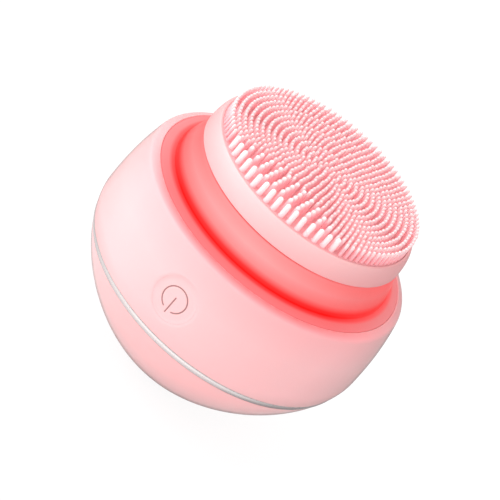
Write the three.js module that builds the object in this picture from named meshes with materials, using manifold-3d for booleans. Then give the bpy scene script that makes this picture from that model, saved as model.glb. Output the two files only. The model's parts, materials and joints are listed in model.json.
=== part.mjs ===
// Facial cleansing brush: a palm-held ball with a lit neck and a rotary bristle head.
// Millimetres, +Z up along the brush axis. The origin is the centre of the flat base and
// the front, where the power button is, faces -Y.
import * as THREE from "three";
import { mergeVertices } from "three/addons/utils/BufferGeometryUtils.js";
import Module from "manifold-3d";

const wasm = await Module();
wasm.setup();

// ---- Driving dimensions ----

// The ball: one superellipse below its widest circle and another above it
const BODY_RADIUS = 39;
const BELLY_Z = 31.14;
const LOWER_SPAN = 33.87;
const LOWER_POWER = 1.6;
const UPPER_SPAN = 50.1;
const UPPER_POWER = 2.23;
const WALL = 2.2;
const BASE_Z = 0.25;

// The silver ring between the two shells
const TRIM_LOW = 25.15;
const TRIM_HIGH = 27;

// The shoulder: crease, lip, lit ring and the foot of the neck
const CREASE_Z = 49.9;
const LIP_RADIUS = 34.7;
const LIP_Z = 51.1;
const LEDGE_Z = 49.6;
const LEDGE_THICKNESS = 1.4;
const LEDGE_INNER = 30.6;
const NECK_FOOT_RADIUS = 31.4;
const NECK_FOOT_Z = 52.06;
const NECK_TOP_RADIUS = 28.9;
const NECK_TOP_Z = 60.1;

// The brush head
const HEAD_LOW = 60.5;
const COLLAR_RADIUS = 29.2;
const COLLAR_TOP_RADIUS = 27.5;
const COLLAR_SPAN = 5.8;
const COLLAR_TOP_Z = 66.1;
const PAD_LOW = 65.25;
const PAD_TOP = 66.2;
const BRISTLE_RADIUS = 27.2;
const BRISTLE_TOP = 70;

// The zone of firm bristles is the part of the disc inside this second circle
const FIRM_ZONE_Y = -42.9;
const FIRM_ZONE_RADIUS = 27.5;
const ZONE_GAP = 0.4;

// Power button
const BUTTON_Z = 37.7;
const BUTTON_RADIUS = 5.75;
const BUTTON_HOLE_RADIUS = 5.9;
const DISH_FLOOR_Y = -37.9;
const DISH_SPHERE_RADIUS = 24;
const STEM_END_Y = -31.2;

// Gear train: two equal stages with one centre distance, so motor and spindle share an axis
const MODULE_SIZE = 0.6;
const PRESSURE_ANGLE = THREE.MathUtils.degToRad(25);
const PINION_TEETH = 12;
const WHEEL_TEETH = 36;
const ADDENDUM = 0.85 * MODULE_SIZE;
const DEDENDUM = 1.25 * MODULE_SIZE;
const BACKLASH = 0.12;
const CENTRE_DISTANCE = (MODULE_SIZE * (PINION_TEETH + WHEEL_TEETH)) / 2;
const TO_IDLER = Math.PI / 2;

// Heights of the drive, from the motor up
const MOTOR_RADIUS = 12;
const MOTOR_LOW = 24.6;
const CAN_LOW = 27;
const PLATE_LOW = 42.7;
const PLATE_HIGH = 44.3;
const FIRST_STAGE_LOW = 44.7;
const FIRST_STAGE_HIGH = 46.9;
const SECOND_STAGE_LOW = 47.3;
const SECOND_STAGE_HIGH = 49.8;
const COVER_LOW = 50.3;
const COVER_HIGH = 51.7;
const PLATE_RADIUS = 24.5;
const SPINDLE_RADIUS = 3;
const SPINDLE_TOP = 64.5;
const HEX_LOW = 60.6;
const HEX_RADIUS = 2.9;

// Facets round the axis
const SHELL_SIDES = 40;
const ROUND_SIDES = 24;
const SMALL_SIDES = 16;
const SCREW_SIDES = 8;

// ---- Solid helpers ----

function toSolid(geometry) {
  const bare = geometry.index ? geometry.toNonIndexed() : geometry.clone();
  bare.deleteAttribute("normal");
  bare.deleteAttribute("uv");
  const merged = mergeVertices(bare);
  const vertProperties = merged.attributes.position.array;
  const triVerts = new Uint32Array(merged.index.array);
  return new wasm.Manifold(new wasm.Mesh({ numProp: 3, vertProperties, triVerts }));
}

function toGeometry(solid) {
  const mesh = solid.getMesh();
  const geometry = new THREE.BufferGeometry();
  geometry.setAttribute("position", new THREE.BufferAttribute(new Float32Array(mesh.vertProperties), 3));
  geometry.setIndex(new THREE.BufferAttribute(new Uint32Array(mesh.triVerts), 1));
  geometry.computeVertexNormals();
  return geometry;
}

function combine(first, added, removed = []) {
  let solid = toSolid(first);
  for (const geometry of added) solid = solid.add(toSolid(geometry));
  for (const geometry of removed) solid = solid.subtract(toSolid(geometry));
  return toGeometry(solid);
}

// A profile of [radius, height] points, anticlockwise, turned round the Z axis
function turned(profile, sides = ROUND_SIDES) {
  const points = profile.map(([radius, height]) => new THREE.Vector2(radius, height));
  const geometry = new THREE.LatheGeometry(points, sides);
  geometry.rotateX(Math.PI / 2);
  return geometry;
}

function ring(profile, sides = ROUND_SIDES) {
  return turned([...profile, profile[0]], sides);
}

function tube(innerRadius, outerRadius, low, high, sides = ROUND_SIDES) {
  return ring([[innerRadius, low], [outerRadius, low], [outerRadius, high], [innerRadius, high]], sides);
}

function rod(radius, low, high, sides = SMALL_SIDES) {
  return turned([[0, low], [radius, low], [radius, high], [0, high]], sides);
}

function prism(shape, low, high, curveSegments = 12) {
  const geometry = new THREE.ExtrudeGeometry(shape, { depth: high - low, bevelEnabled: false, curveSegments });
  geometry.translate(0, 0, low);
  return geometry;
}

function block(lowCorner, highCorner) {
  const size = highCorner.map((value, axis) => value - lowCorner[axis]);
  const middle = highCorner.map((value, axis) => (value + lowCorner[axis]) / 2);
  return new THREE.BoxGeometry(...size).translate(...middle);
}

// Turns a solid made along Z so that it lies along Y at the button's height
function alongButtonAxis(geometry) {
  return geometry.rotateX(-Math.PI / 2).translate(0, 0, BUTTON_Z);
}

// A point at a radius and an angle in the XY plane
function polar(radius, angle) {
  return [radius * Math.cos(angle), radius * Math.sin(angle)];
}

// ---- The ball's outline ----

function bodyRadius(z, inset = 0) {
  const below = z < BELLY_Z;
  const span = (below ? LOWER_SPAN : UPPER_SPAN) - inset;
  const power = below ? LOWER_POWER : UPPER_POWER;
  const height = Math.abs(z - BELLY_Z) / span;
  return (BODY_RADIUS - inset) * (1 - height ** power) ** (1 / power);
}

// Points of the outline from one height to another, closer together near the start
function outline(from, to, steps, inset = 0, crowding = 1) {
  return Array.from({ length: steps + 1 }, (_, index) => {
    const z = from + (to - from) * (index / steps) ** crowding;
    return [bodyRadius(z, inset), z];
  });
}

// The outer surface from the silver ring over the widest circle to the crease
function upperOutline(from) {
  return [...outline(from, BELLY_Z, 2).slice(0, 2), ...outline(BELLY_Z, CREASE_Z, 5)];
}

// ---- Gears ----

function gearShape(teeth, toothAngle, boreRadius) {
  const pitchRadius = (MODULE_SIZE * teeth) / 2;
  const baseRadius = pitchRadius * Math.cos(PRESSURE_ANGLE);
  const tipRadius = pitchRadius + ADDENDUM;
  const rootRadius = pitchRadius - DEDENDUM;
  const involute = (radius) => {
    const roll = Math.sqrt(Math.max((radius / baseRadius) ** 2 - 1, 0));
    return roll - Math.atan(roll);
  };
  const halfTooth = Math.PI / (2 * teeth) - BACKLASH / (2 * pitchRadius) + involute(pitchRadius);
  const flankStart = Math.max(baseRadius, rootRadius);
  const flank = [flankStart, tipRadius];
  // The pinions' short flanks curve more and run on down below their base circle
  if (rootRadius < baseRadius) flank.splice(1, 0, (flankStart + tipRadius) / 2);
  if (rootRadius < baseRadius) flank.unshift(rootRadius);
  const points = [];
  for (let tooth = 0; tooth < teeth; tooth += 1) {
    const centre = toothAngle + (2 * Math.PI * tooth) / teeth;
    const rising = flank.map((radius) => [radius, centre - halfTooth + involute(radius)]);
    const falling = flank.map((radius) => [radius, centre + halfTooth - involute(radius)]).reverse();
    for (const [radius, angle] of [...rising, ...falling]) {
      points.push(new THREE.Vector2(...polar(radius, angle)));
    }
  }
  const shape = new THREE.Shape(points);
  shape.holes.push(new THREE.Path().absarc(0, 0, boreRadius, 0, 2 * Math.PI, true));
  return shape;
}

// ---- Materials ----

const FINISHES = {
  shell: { color: 0xf7cfd0, roughness: 0.5, metalness: 0 },
  shoulder: { color: 0xfbd9d9, roughness: 0.5, metalness: 0 },
  silver: { color: 0xcfc8c6, roughness: 0.25, metalness: 1 },
  lit: { color: 0xf95050, roughness: 0.4, metalness: 0 },
  bristle: { color: 0xfbe3e6, roughness: 0.45, metalness: 0 },
  padRubber: { color: 0xf0b9ba, roughness: 0.7, metalness: 0 },
  darkRubber: { color: 0x2c2c2e, roughness: 0.85, metalness: 0 },
  frame: { color: 0xe6e3dd, roughness: 0.55, metalness: 0 },
  gear: { color: 0xf2efe6, roughness: 0.45, metalness: 0 },
  steel: { color: 0xa8abb0, roughness: 0.35, metalness: 1 },
  brass: { color: 0xc9a54b, roughness: 0.35, metalness: 1 },
  gold: { color: 0xd8b25a, roughness: 0.3, metalness: 1 },
  board: { color: 0x1f6b43, roughness: 0.5, metalness: 0 },
  black: { color: 0x222326, roughness: 0.5, metalness: 0 },
  magnet: { color: 0x4a4a4e, roughness: 0.6, metalness: 0.3 },
  copper: { color: 0xb4673a, roughness: 0.4, metalness: 1 },
  cell: { color: 0x3f7fb8, roughness: 0.4, metalness: 0 },
  led: { color: 0xfff0a8, roughness: 0.3, metalness: 0 },
  redWire: { color: 0xc0302c, roughness: 0.5, metalness: 0 },
};

const brush = new THREE.Group();

function place(name, finish, geometry, parent = brush) {
  const mesh = new THREE.Mesh(geometry, new THREE.MeshStandardMaterial(FINISHES[finish]));
  mesh.name = name;
  parent.add(mesh);
  return mesh;
}

// ---- Base: lower shell, foot pad, charging contacts ----

const PAD_RADIUS = 9;
const PAD_THICKNESS = 1.2;
const RECESS_TOP = 1.3;
const FLOOR_TOP = 2.4;
const SHELL_GAP = 0.025;
const CONTACT_X = 5;
const CONTACT_HEAD_RADIUS = 1.5;
const CONTACT_STEM_RADIUS = 0.9;
const CONTACT_CLEARANCE = 0.2;

function buildLowerShell() {
  const recessRadius = PAD_RADIUS + 0.15;
  const rim = TRIM_LOW - SHELL_GAP;
  const postInner = 7;
  const postOuter = 8.4;
  const postTop = CRADLE_LOW - 0.1;
  const shell = turned([
    [0, RECESS_TOP],
    [recessRadius, RECESS_TOP],
    [recessRadius, BASE_Z],
    ...outline(BASE_Z, rim, 7, 0, 1.7),
    ...outline(rim, FLOOR_TOP, 5, WALL, 0.7),
    [postOuter, FLOOR_TOP],
    [postOuter, postTop],
    [postInner, postTop],
    [postInner, FLOOR_TOP],
    [0, FLOOR_TOP],
  ], SHELL_SIDES);
  const holeRadius = CONTACT_STEM_RADIUS + CONTACT_CLEARANCE;
  const holes = [-CONTACT_X, CONTACT_X].map((x) => rod(holeRadius, 0, FLOOR_TOP + 1).translate(x, 0, 0));
  place("lower_shell", "shell", combine(shell, [], holes));
}

function buildFootPad() {
  const holeRadius = CONTACT_HEAD_RADIUS + CONTACT_CLEARANCE + 0.05;
  const disc = new THREE.Shape().absarc(0, 0, PAD_RADIUS, 0, 2 * Math.PI);
  for (const x of [-CONTACT_X, CONTACT_X]) {
    disc.holes.push(new THREE.Path().absarc(x, 0, holeRadius, 0, 2 * Math.PI, true));
  }
  place("foot_pad", "padRubber", prism(disc, 0, PAD_THICKNESS, 12));
}

function buildContacts() {
  const faceZ = 0.35;
  const headTop = 1.2;
  const stemTop = 5;
  const pin = () => turned([
    [0, faceZ],
    [CONTACT_HEAD_RADIUS, faceZ],
    [CONTACT_HEAD_RADIUS, headTop],
    [CONTACT_STEM_RADIUS, headTop],
    [CONTACT_STEM_RADIUS, stemTop],
    [0, stemTop],
  ], SMALL_SIDES);
  place("charge_contact_left", "gold", pin()).position.x = -CONTACT_X;
  place("charge_contact_right", "gold", pin()).position.x = CONTACT_X;
}

// ---- Battery and its cradle ----

const CRADLE_LOW = 6.3;
const CRADLE_HIGH = 13;
const CELL_RADIUS = 8;
const CELL_Z = 15.5;
const CELL_HALF_LENGTH = 17;

function buildBattery() {
  const seatRadius = CELL_RADIUS + 0.15;
  const halfWidth = 9.2;
  const seatAngle = Math.asin((CELL_Z - CRADLE_HIGH) / seatRadius);
  const section = new THREE.Shape();
  section.moveTo(-halfWidth, CRADLE_LOW);
  section.lineTo(halfWidth, CRADLE_LOW);
  section.lineTo(halfWidth, CRADLE_HIGH);
  section.absarc(0, CELL_Z, seatRadius, -seatAngle, Math.PI + seatAngle, true);
  section.lineTo(-halfWidth, CRADLE_HIGH);
  const halfLength = 15;
  const cradle = prism(section, -halfLength, halfLength, 14);
  // The section is drawn in YZ, and its length runs along X
  cradle.rotateX(Math.PI / 2).rotateZ(Math.PI / 2);
  place("battery_cradle", "frame", cradle);

  const terminalRadius = 2.6;
  const terminalEnd = CELL_HALF_LENGTH + 0.8;
  const cell = turned([
    [0, -CELL_HALF_LENGTH],
    [CELL_RADIUS, -CELL_HALF_LENGTH],
    [CELL_RADIUS, CELL_HALF_LENGTH],
    [terminalRadius, CELL_HALF_LENGTH],
    [terminalRadius, terminalEnd],
    [0, terminalEnd],
  ]);
  cell.rotateY(Math.PI / 2).translate(0, 0, CELL_Z);
  place("battery_cell", "cell", cell);
}

// ---- Silver ring and the seal inside it ----

const SPIGOT_RADIUS = 33.2;
const TRIM_INNER = 35.1;

function buildTrim() {
  const low = TRIM_LOW;
  const high = TRIM_HIGH;
  place("trim_ring", "silver", ring([
    [TRIM_INNER, low],
    ...outline(low, high, 2),
    [TRIM_INNER, high],
  ], SHELL_SIDES));

  const sealMiddle = (SPIGOT_RADIUS + TRIM_INNER) / 2 + 0.1;
  const sealRadius = 0.5;
  const corners = 6;
  const section = Array.from({ length: corners }, (_, index) => {
    const [across, up] = polar(sealRadius, (2 * Math.PI * index) / corners);
    return [sealMiddle + across, (low + high) / 2 + up];
  });
  place("case_seal", "darkRubber", ring(section, ROUND_SIDES));
}

// ---- Upper shell with its bosses, board rails and button guide ----

const BOSS_RADIUS = 32;
const BOSS_ANGLES = [90, 210, 330].map(THREE.MathUtils.degToRad);
const SPIGOT_LOW = 22.5;
const SPIGOT_INNER = 31.8;
const FLANGE_HIGH = 28.8;
const BOARD_BACK_Y = -26;
const BOARD_FRONT_Y = -27.2;
const BOARD_HALF_WIDTH = 12;
const BOARD_SCREW_X = 11;
const BOARD_SCREW_Z = 37;
const SCREW_PILOT_RADIUS = 1.1;
const BUTTON_FLANGE_RADIUS = 7.2;

function buildUpperShell() {
  const low = TRIM_HIGH + SHELL_GAP;
  const underLedge = LEDGE_Z - LEDGE_THICKNESS;
  const shell = ring([
    [SPIGOT_INNER, SPIGOT_LOW],
    [SPIGOT_RADIUS, SPIGOT_LOW],
    [SPIGOT_RADIUS, low],
    ...upperOutline(low),
    [LIP_RADIUS, LIP_Z],
    [LIP_RADIUS, LEDGE_Z],
    [LEDGE_INNER, LEDGE_Z],
    [LEDGE_INNER, underLedge],
    ...outline(underLedge, FLANGE_HIGH, 3, WALL),
    [SPIGOT_INNER, FLANGE_HIGH],
  ], SHELL_SIDES);

  const added = [];
  const removed = [];
  const bossThickness = 2.4;
  for (const angle of BOSS_ANGLES) {
    const [x, y] = polar(BOSS_RADIUS, angle);
    added.push(rod(bossThickness, PLATE_HIGH + 0.1, LEDGE_Z - 0.5).translate(x, y, 0));
    removed.push(rod(SCREW_PILOT_RADIUS, PLATE_HIGH - 1, underLedge + 0.2, SCREW_SIDES).translate(x, y, 0));
  }
  // L-shaped rails either side of the circuit board, fused to the wall
  const railLow = 30;
  const railHigh = 44;
  const railX = BOARD_HALF_WIDTH + 0.3;
  const railThickness = 1.6;
  const railFrontY = -35;
  const railBackY = BOARD_BACK_Y + 0.6;
  const stopX = 9.6;
  const stopDepth = 2.1;
  const stopBackY = BOARD_FRONT_Y - 0.1;
  const pilotRadius = 0.9;
  const pilotLength = 4;
  for (const side of [-1, 1]) {
    const rail = block([railX, railFrontY, railLow], [railX + railThickness, railBackY, railHigh]);
    const stop = block([stopX, stopBackY - stopDepth, railLow], [railX + 0.3, stopBackY, railHigh]);
    const pilot = rod(pilotRadius, 0, pilotLength, SCREW_SIDES).rotateX(Math.PI / 2);
    pilot.translate(BOARD_SCREW_X, BOARD_FRONT_Y + 1, BOARD_SCREW_Z);
    if (side < 0) {
      for (const geometry of [rail, stop, pilot]) geometry.rotateY(Math.PI).translate(0, 0, 2 * BOARD_SCREW_Z);
    }
    added.push(rail, stop);
    removed.push(pilot);
  }
  const guideRadius = BUTTON_FLANGE_RADIUS + 0.3;
  const guideWall = 1.4;
  const guideFrontY = -36.9;
  const guideBackY = -33.8;
  added.push(alongButtonAxis(tube(guideRadius, guideRadius + guideWall, guideFrontY, guideBackY)));
  const outsideY = -BODY_RADIUS - 6;
  const wallBackY = -35;
  removed.push(alongButtonAxis(rod(BUTTON_HOLE_RADIUS, outsideY, wallBackY, ROUND_SIDES)));
  place("upper_shell", "shell", combine(shell, added, removed));
}

// ---- Button, switch and circuit board ----

const FLANGE_FRONT_Y = -35.4;
const FLANGE_BACK_Y = -34.4;
const STEM_RADIUS = 1.6;
const SWITCH_FRONT_Y = -30.3;
const SWITCH_HALF_WIDTH = 3;
const PLUNGER_RADIUS = 1.7;

function buildButton() {
  const outsideY = -BODY_RADIUS - 3;
  const barrel = alongButtonAxis(rod(BUTTON_RADIUS, outsideY, FLANGE_BACK_Y, ROUND_SIDES));
  const ball = turned([
    [0, TRIM_HIGH],
    ...upperOutline(TRIM_HIGH),
    [0, CREASE_Z],
  ], SHELL_SIDES);
  const dish = new THREE.SphereGeometry(DISH_SPHERE_RADIUS, 36, 48);
  dish.translate(0, DISH_FLOOR_Y - DISH_SPHERE_RADIUS, BUTTON_Z);
  const cap = toSolid(barrel).intersect(toSolid(ball)).subtract(toSolid(dish));
  const flange = alongButtonAxis(rod(BUTTON_FLANGE_RADIUS, FLANGE_FRONT_Y, FLANGE_BACK_Y, ROUND_SIDES));
  const stem = alongButtonAxis(rod(STEM_RADIUS, FLANGE_BACK_Y - 0.5, STEM_END_Y, SMALL_SIDES));
  place("button_cap", "shell", combine(toGeometry(cap), [flange, stem]));
}

function buildSwitch() {
  const half = SWITCH_HALF_WIDTH;
  const housing = block([-half, SWITCH_FRONT_Y, BUTTON_Z - half], [half, BOARD_FRONT_Y - 0.05, BUTTON_Z + half]);
  const pocketDepth = 2.3;
  const plungerDepth = 1.4;
  const pocket = alongButtonAxis(rod(PLUNGER_RADIUS + 0.1, SWITCH_FRONT_Y - 1, SWITCH_FRONT_Y + pocketDepth));
  place("switch_housing", "black", combine(housing, [], [pocket]));
  const plunger = rod(PLUNGER_RADIUS, STEM_END_Y + 0.05, SWITCH_FRONT_Y + plungerDepth);
  place("switch_plunger", "steel", alongButtonAxis(plunger));
}

function buildMainBoard() {
  const boardLow = 29.2;
  const boardHigh = 46.2;
  const board = block([-BOARD_HALF_WIDTH, BOARD_FRONT_Y, boardLow], [BOARD_HALF_WIDTH, BOARD_BACK_Y, boardHigh]);
  const holes = [];
  const threadRadius = 0.7;
  const threadEnd = -2.5;
  const headRadius = 0.95;
  const headLow = 0.05;
  const headHigh = 0.9;
  for (const side of [-1, 1]) {
    const x = side * BOARD_SCREW_X;
    const hole = rod(threadRadius + 0.15, 0, 4, SCREW_SIDES).rotateX(Math.PI / 2);
    holes.push(hole.translate(x, BOARD_BACK_Y + 1, BOARD_SCREW_Z));
    const screw = turned([
      [0, threadEnd],
      [threadRadius, threadEnd],
      [threadRadius, headLow],
      [headRadius, headLow],
      [headRadius, headHigh],
      [0, headHigh],
    ], SCREW_SIDES);
    const name = side < 0 ? "board_screw_left" : "board_screw_right";
    place(name, "steel", screw.rotateX(-Math.PI / 2).translate(x, BOARD_BACK_Y, BOARD_SCREW_Z));
  }
  place("main_board", "board", combine(board, [], holes));
}

// ---- Motor ----

const MOTOR_SHAFT_RADIUS = 1;
const MOTOR_BOSS_RADIUS = 3;
const CAN_WALL = 1;
const CAN_TOP = PLATE_LOW - 0.1;
const ROTOR_RADIUS = 8.4;
const ROTOR_LOW = 30.5;
const ROTOR_HIGH = 39.5;

function buildMotor() {
  const bore = MOTOR_SHAFT_RADIUS + 0.08;
  const canInner = MOTOR_RADIUS - CAN_WALL;
  const bossTop = PLATE_HIGH - 0.2;
  const underCanTop = CAN_TOP - 1.2;
  place("motor_can", "steel", ring([
    [canInner, CAN_LOW],
    [MOTOR_RADIUS, CAN_LOW],
    [MOTOR_RADIUS, CAN_TOP],
    [MOTOR_BOSS_RADIUS, CAN_TOP],
    [MOTOR_BOSS_RADIUS, bossTop],
    [bore, bossTop],
    [bore, underCanTop],
    [canInner, underCanTop],
  ]));
  const capRadius = canInner - 0.15;
  place("motor_end_cap", "black", ring([
    [bore, MOTOR_LOW],
    [MOTOR_RADIUS, MOTOR_LOW],
    [MOTOR_RADIUS, CAN_LOW - 0.1],
    [capRadius, CAN_LOW - 0.1],
    [capRadius, CAN_LOW + 1],
    [bore, CAN_LOW + 1],
  ]));
  place("motor_magnet", "magnet", tube(ROTOR_RADIUS + 0.6, capRadius, ROTOR_LOW - 0.5, ROTOR_HIGH + 0.5));
  place("motor_shaft", "steel", rod(MOTOR_SHAFT_RADIUS, MOTOR_LOW + 0.6, FIRST_STAGE_HIGH));
  place("motor_rotor", "copper", prism(rotorShape(), ROTOR_LOW, ROTOR_HIGH, 6));
}

// Three wound poles on a hub, with a bore for the shaft
function rotorShape() {
  const poles = 3;
  const hubRadius = 3.2;
  const slotHalfAngle = THREE.MathUtils.degToRad(12);
  const shape = new THREE.Shape();
  for (let pole = 0; pole < poles; pole += 1) {
    const start = (2 * Math.PI * pole) / poles + slotHalfAngle;
    const end = (2 * Math.PI * (pole + 1)) / poles - slotHalfAngle;
    if (pole === 0) shape.moveTo(...polar(hubRadius, start));
    else shape.lineTo(...polar(hubRadius, start));
    shape.lineTo(...polar(ROTOR_RADIUS, start));
    shape.absarc(0, 0, ROTOR_RADIUS, start, end, false);
    shape.lineTo(...polar(hubRadius, end));
  }
  shape.holes.push(new THREE.Path().absarc(0, 0, MOTOR_SHAFT_RADIUS + 0.06, 0, 2 * Math.PI, true));
  return shape;
}

// ---- Gears, spindle and gearbox ----

const IDLER_PIN_RADIUS = 1.5;
const PIN_HOLE_RADIUS = IDLER_PIN_RADIUS + 0.06;
const SCREW_HOLE_RADIUS = 1.2;
const POST_POSITIONS = [[-17, -8], [17, -8], [18.5, 12], [-18.5, 12]];
const BUSH_OUTER = 5.9;

function buildGears() {
  const shaftFit = MOTOR_SHAFT_RADIUS + 0.06;
  const pinion = gearShape(PINION_TEETH, TO_IDLER, shaftFit);
  place("motor_pinion", "brass", prism(pinion, FIRST_STAGE_LOW, FIRST_STAGE_HIGH, 6));

  const gapTowardsAxis = TO_IDLER + Math.PI + Math.PI / WHEEL_TEETH;
  const idlerBore = IDLER_PIN_RADIUS + 0.08;
  const wheel = prism(gearShape(WHEEL_TEETH, gapTowardsAxis, idlerBore), FIRST_STAGE_LOW, FIRST_STAGE_HIGH, 6);
  const smallGear = gearShape(PINION_TEETH, TO_IDLER + Math.PI, idlerBore);
  const small = prism(smallGear, FIRST_STAGE_HIGH - 0.5, SECOND_STAGE_HIGH + 0.1, 6);
  const idler = place("idler_gear", "gear", combine(wheel, [small]));
  idler.position.set(...polar(CENTRE_DISTANCE, TO_IDLER), 0);

  const output = gearShape(WHEEL_TEETH, TO_IDLER + Math.PI / WHEEL_TEETH, SPINDLE_RADIUS + 0.1);
  place("output_gear", "gear", prism(output, SECOND_STAGE_LOW, SECOND_STAGE_HIGH, 8));
}

function buildSpindle() {
  const flangeRadius = 4.6;
  const footZ = SECOND_STAGE_LOW - 0.15;
  const flangeLow = SECOND_STAGE_HIGH + 0.1;
  const flangeHigh = COVER_LOW - 0.1;
  const shaft = turned([
    [0, footZ],
    [SPINDLE_RADIUS, footZ],
    [SPINDLE_RADIUS, flangeLow],
    [flangeRadius, flangeLow],
    [flangeRadius, flangeHigh],
    [SPINDLE_RADIUS, flangeHigh],
    [SPINDLE_RADIUS, HEX_LOW],
    [0, HEX_LOW],
  ]);
  const hexEnd = rod(HEX_RADIUS, HEX_LOW - 0.5, SPINDLE_TOP, 6);
  place("output_spindle", "steel", combine(shaft, [hexEnd]));
}

function screwGeometry(length) {
  const headHeight = 1.2;
  const headRadius = 2;
  const threadRadius = 0.95;
  return turned([
    [0, -headHeight],
    [headRadius, -headHeight],
    [headRadius, 0],
    [threadRadius, 0],
    [threadRadius, length],
    [0, length],
  ], SCREW_SIDES);
}

function buildGearbox() {
  const plateAdded = [];
  const plateHoles = [rod(MOTOR_BOSS_RADIUS + 0.2, PLATE_LOW - 1, PLATE_HIGH + 1, ROUND_SIDES)];
  const armHalfWidth = 2.6;
  const screwHeadZ = PLATE_LOW - 0.1;
  const bracketScrewLength = 5;
  const coverScrewLength = 6;
  BOSS_ANGLES.forEach((angle, index) => {
    const [x, y] = polar(BOSS_RADIUS, angle);
    const arm = block([PLATE_RADIUS - 2, -armHalfWidth, PLATE_LOW], [BOSS_RADIUS, armHalfWidth, PLATE_HIGH]);
    plateAdded.push(arm.rotateZ(angle), rod(armHalfWidth + 0.1, PLATE_LOW, PLATE_HIGH).translate(x, y, 0));
    plateHoles.push(rod(SCREW_HOLE_RADIUS, PLATE_LOW - 1, PLATE_HIGH + 1, SCREW_SIDES).translate(x, y, 0));
    place(`bracket_screw_${index + 1}`, "steel", screwGeometry(bracketScrewLength)).position.set(x, y, screwHeadZ);
  });

  const postRadius = 2.2;
  const posts = [];
  const pilots = [];
  POST_POSITIONS.forEach(([x, y], index) => {
    posts.push(rod(postRadius, PLATE_HIGH + 0.05, COVER_LOW + 0.5).translate(x, y, 0));
    pilots.push(rod(SCREW_PILOT_RADIUS, PLATE_HIGH - 1, COVER_LOW, SCREW_SIDES).translate(x, y, 0));
    plateHoles.push(rod(SCREW_HOLE_RADIUS, PLATE_LOW - 1, PLATE_HIGH + 1, SCREW_SIDES).translate(x, y, 0));
    place(`cover_screw_${index + 1}`, "steel", screwGeometry(coverScrewLength)).position.set(x, y, screwHeadZ);
  });

  const [pinX, pinY] = polar(CENTRE_DISTANCE, TO_IDLER);
  const pinHole = (low, high) => rod(PIN_HOLE_RADIUS, low, high).translate(pinX, pinY, 0);
  plateHoles.push(pinHole(PLATE_LOW - 1, PLATE_HIGH + 1));
  const plate = rod(PLATE_RADIUS, PLATE_LOW, PLATE_HIGH, ROUND_SIDES);
  place("gearbox_plate", "frame", combine(plate, plateAdded, plateHoles));

  const bearingSeatRadius = 8;
  const bushTop = COVER_HIGH + 3;
  const bearingSeat = rod(bearingSeatRadius, COVER_LOW, bushTop - 0.2, ROUND_SIDES);
  const bushHole = rod(BUSH_OUTER + 0.1, COVER_LOW - 1, bushTop + 1, ROUND_SIDES);
  const top = rod(PLATE_RADIUS, COVER_LOW, COVER_HIGH, ROUND_SIDES);
  const coverHoles = [bushHole, pinHole(COVER_LOW - 1, COVER_HIGH + 1), ...pilots];
  place("gearbox_cover", "frame", combine(top, [bearingSeat, ...posts], coverHoles));

  place("idler_pin", "steel", rod(IDLER_PIN_RADIUS, PLATE_LOW, COVER_HIGH)).position.set(pinX, pinY, 0);
  place("spindle_bush", "brass", tube(SPINDLE_RADIUS + 0.06, BUSH_OUTER, COVER_LOW + 0.05, bushTop));
}

// ---- Lit shoulder: light ring, neck, seal, LED board ----

const SEAL_SEAT = 6;
const NECK_WALL = 1.8;
const NECK_PLATE = 1.5;

function buildLightRing() {
  const innerRadius = NECK_FOOT_RADIUS + 0.2;
  const outerRadius = LIP_RADIUS - 0.2;
  place("light_ring", "lit", ring([
    [innerRadius, LEDGE_Z + 0.1],
    [outerRadius, LEDGE_Z + 0.1],
    [outerRadius, LIP_Z - 0.25],
    [innerRadius, NECK_FOOT_Z - 0.15],
  ], SHELL_SIDES));
}

function buildNeck() {
  const seat = LEDGE_Z + 0.1;
  const underPlate = NECK_TOP_Z - NECK_PLATE;
  place("neck", "lit", ring([
    [NECK_FOOT_RADIUS - NECK_WALL, seat],
    [NECK_FOOT_RADIUS, seat],
    [NECK_FOOT_RADIUS, NECK_FOOT_Z],
    [NECK_TOP_RADIUS, NECK_TOP_Z],
    [SEAL_SEAT, NECK_TOP_Z],
    [SEAL_SEAT, underPlate],
    [NECK_TOP_RADIUS - NECK_WALL + 0.4, underPlate],
    [NECK_FOOT_RADIUS - NECK_WALL, NECK_FOOT_Z],
  ], SHELL_SIDES));
  // Two-lipped seal: it hugs the spindle at both ends and is relieved between them
  const lip = SPINDLE_RADIUS + 0.12;
  place("shaft_seal", "darkRubber", ring([
    [lip, underPlate],
    [SEAL_SEAT - 0.12, underPlate],
    [SEAL_SEAT - 0.12, NECK_TOP_Z + 0.1],
    [lip, NECK_TOP_Z + 0.1],
    [lip + 0.8, NECK_TOP_Z - 0.6],
  ]));
}

function buildLeds() {
  const boardLow = COVER_HIGH + 0.1;
  const boardHigh = boardLow + 1.2;
  const boardInner = 12;
  const boardOuter = 28;
  place("led_board", "board", tube(boardInner, boardOuter, boardLow, boardHigh));
  const count = 8;
  const ledCircle = boardOuter - 2;
  const ledHeight = 1;
  const solderGap = 0.3;
  for (let index = 0; index < count; index += 1) {
    const led = place(`led_${index + 1}`, "led", new THREE.BoxGeometry(1.6, 3, ledHeight));
    led.rotation.z = (2 * Math.PI * (index + 0.5)) / count;
    led.position.set(...polar(ledCircle, led.rotation.z), boardHigh + solderGap + ledHeight / 2);
  }
}

// ---- Brush head ----

const HEAD_SHELF_RADIUS = 26;

function collarRadius(z) {
  const rise = (z - HEAD_LOW) / COLLAR_SPAN;
  return COLLAR_TOP_RADIUS + (COLLAR_RADIUS - COLLAR_TOP_RADIUS) * Math.sqrt(1 - rise ** 2);
}

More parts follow.
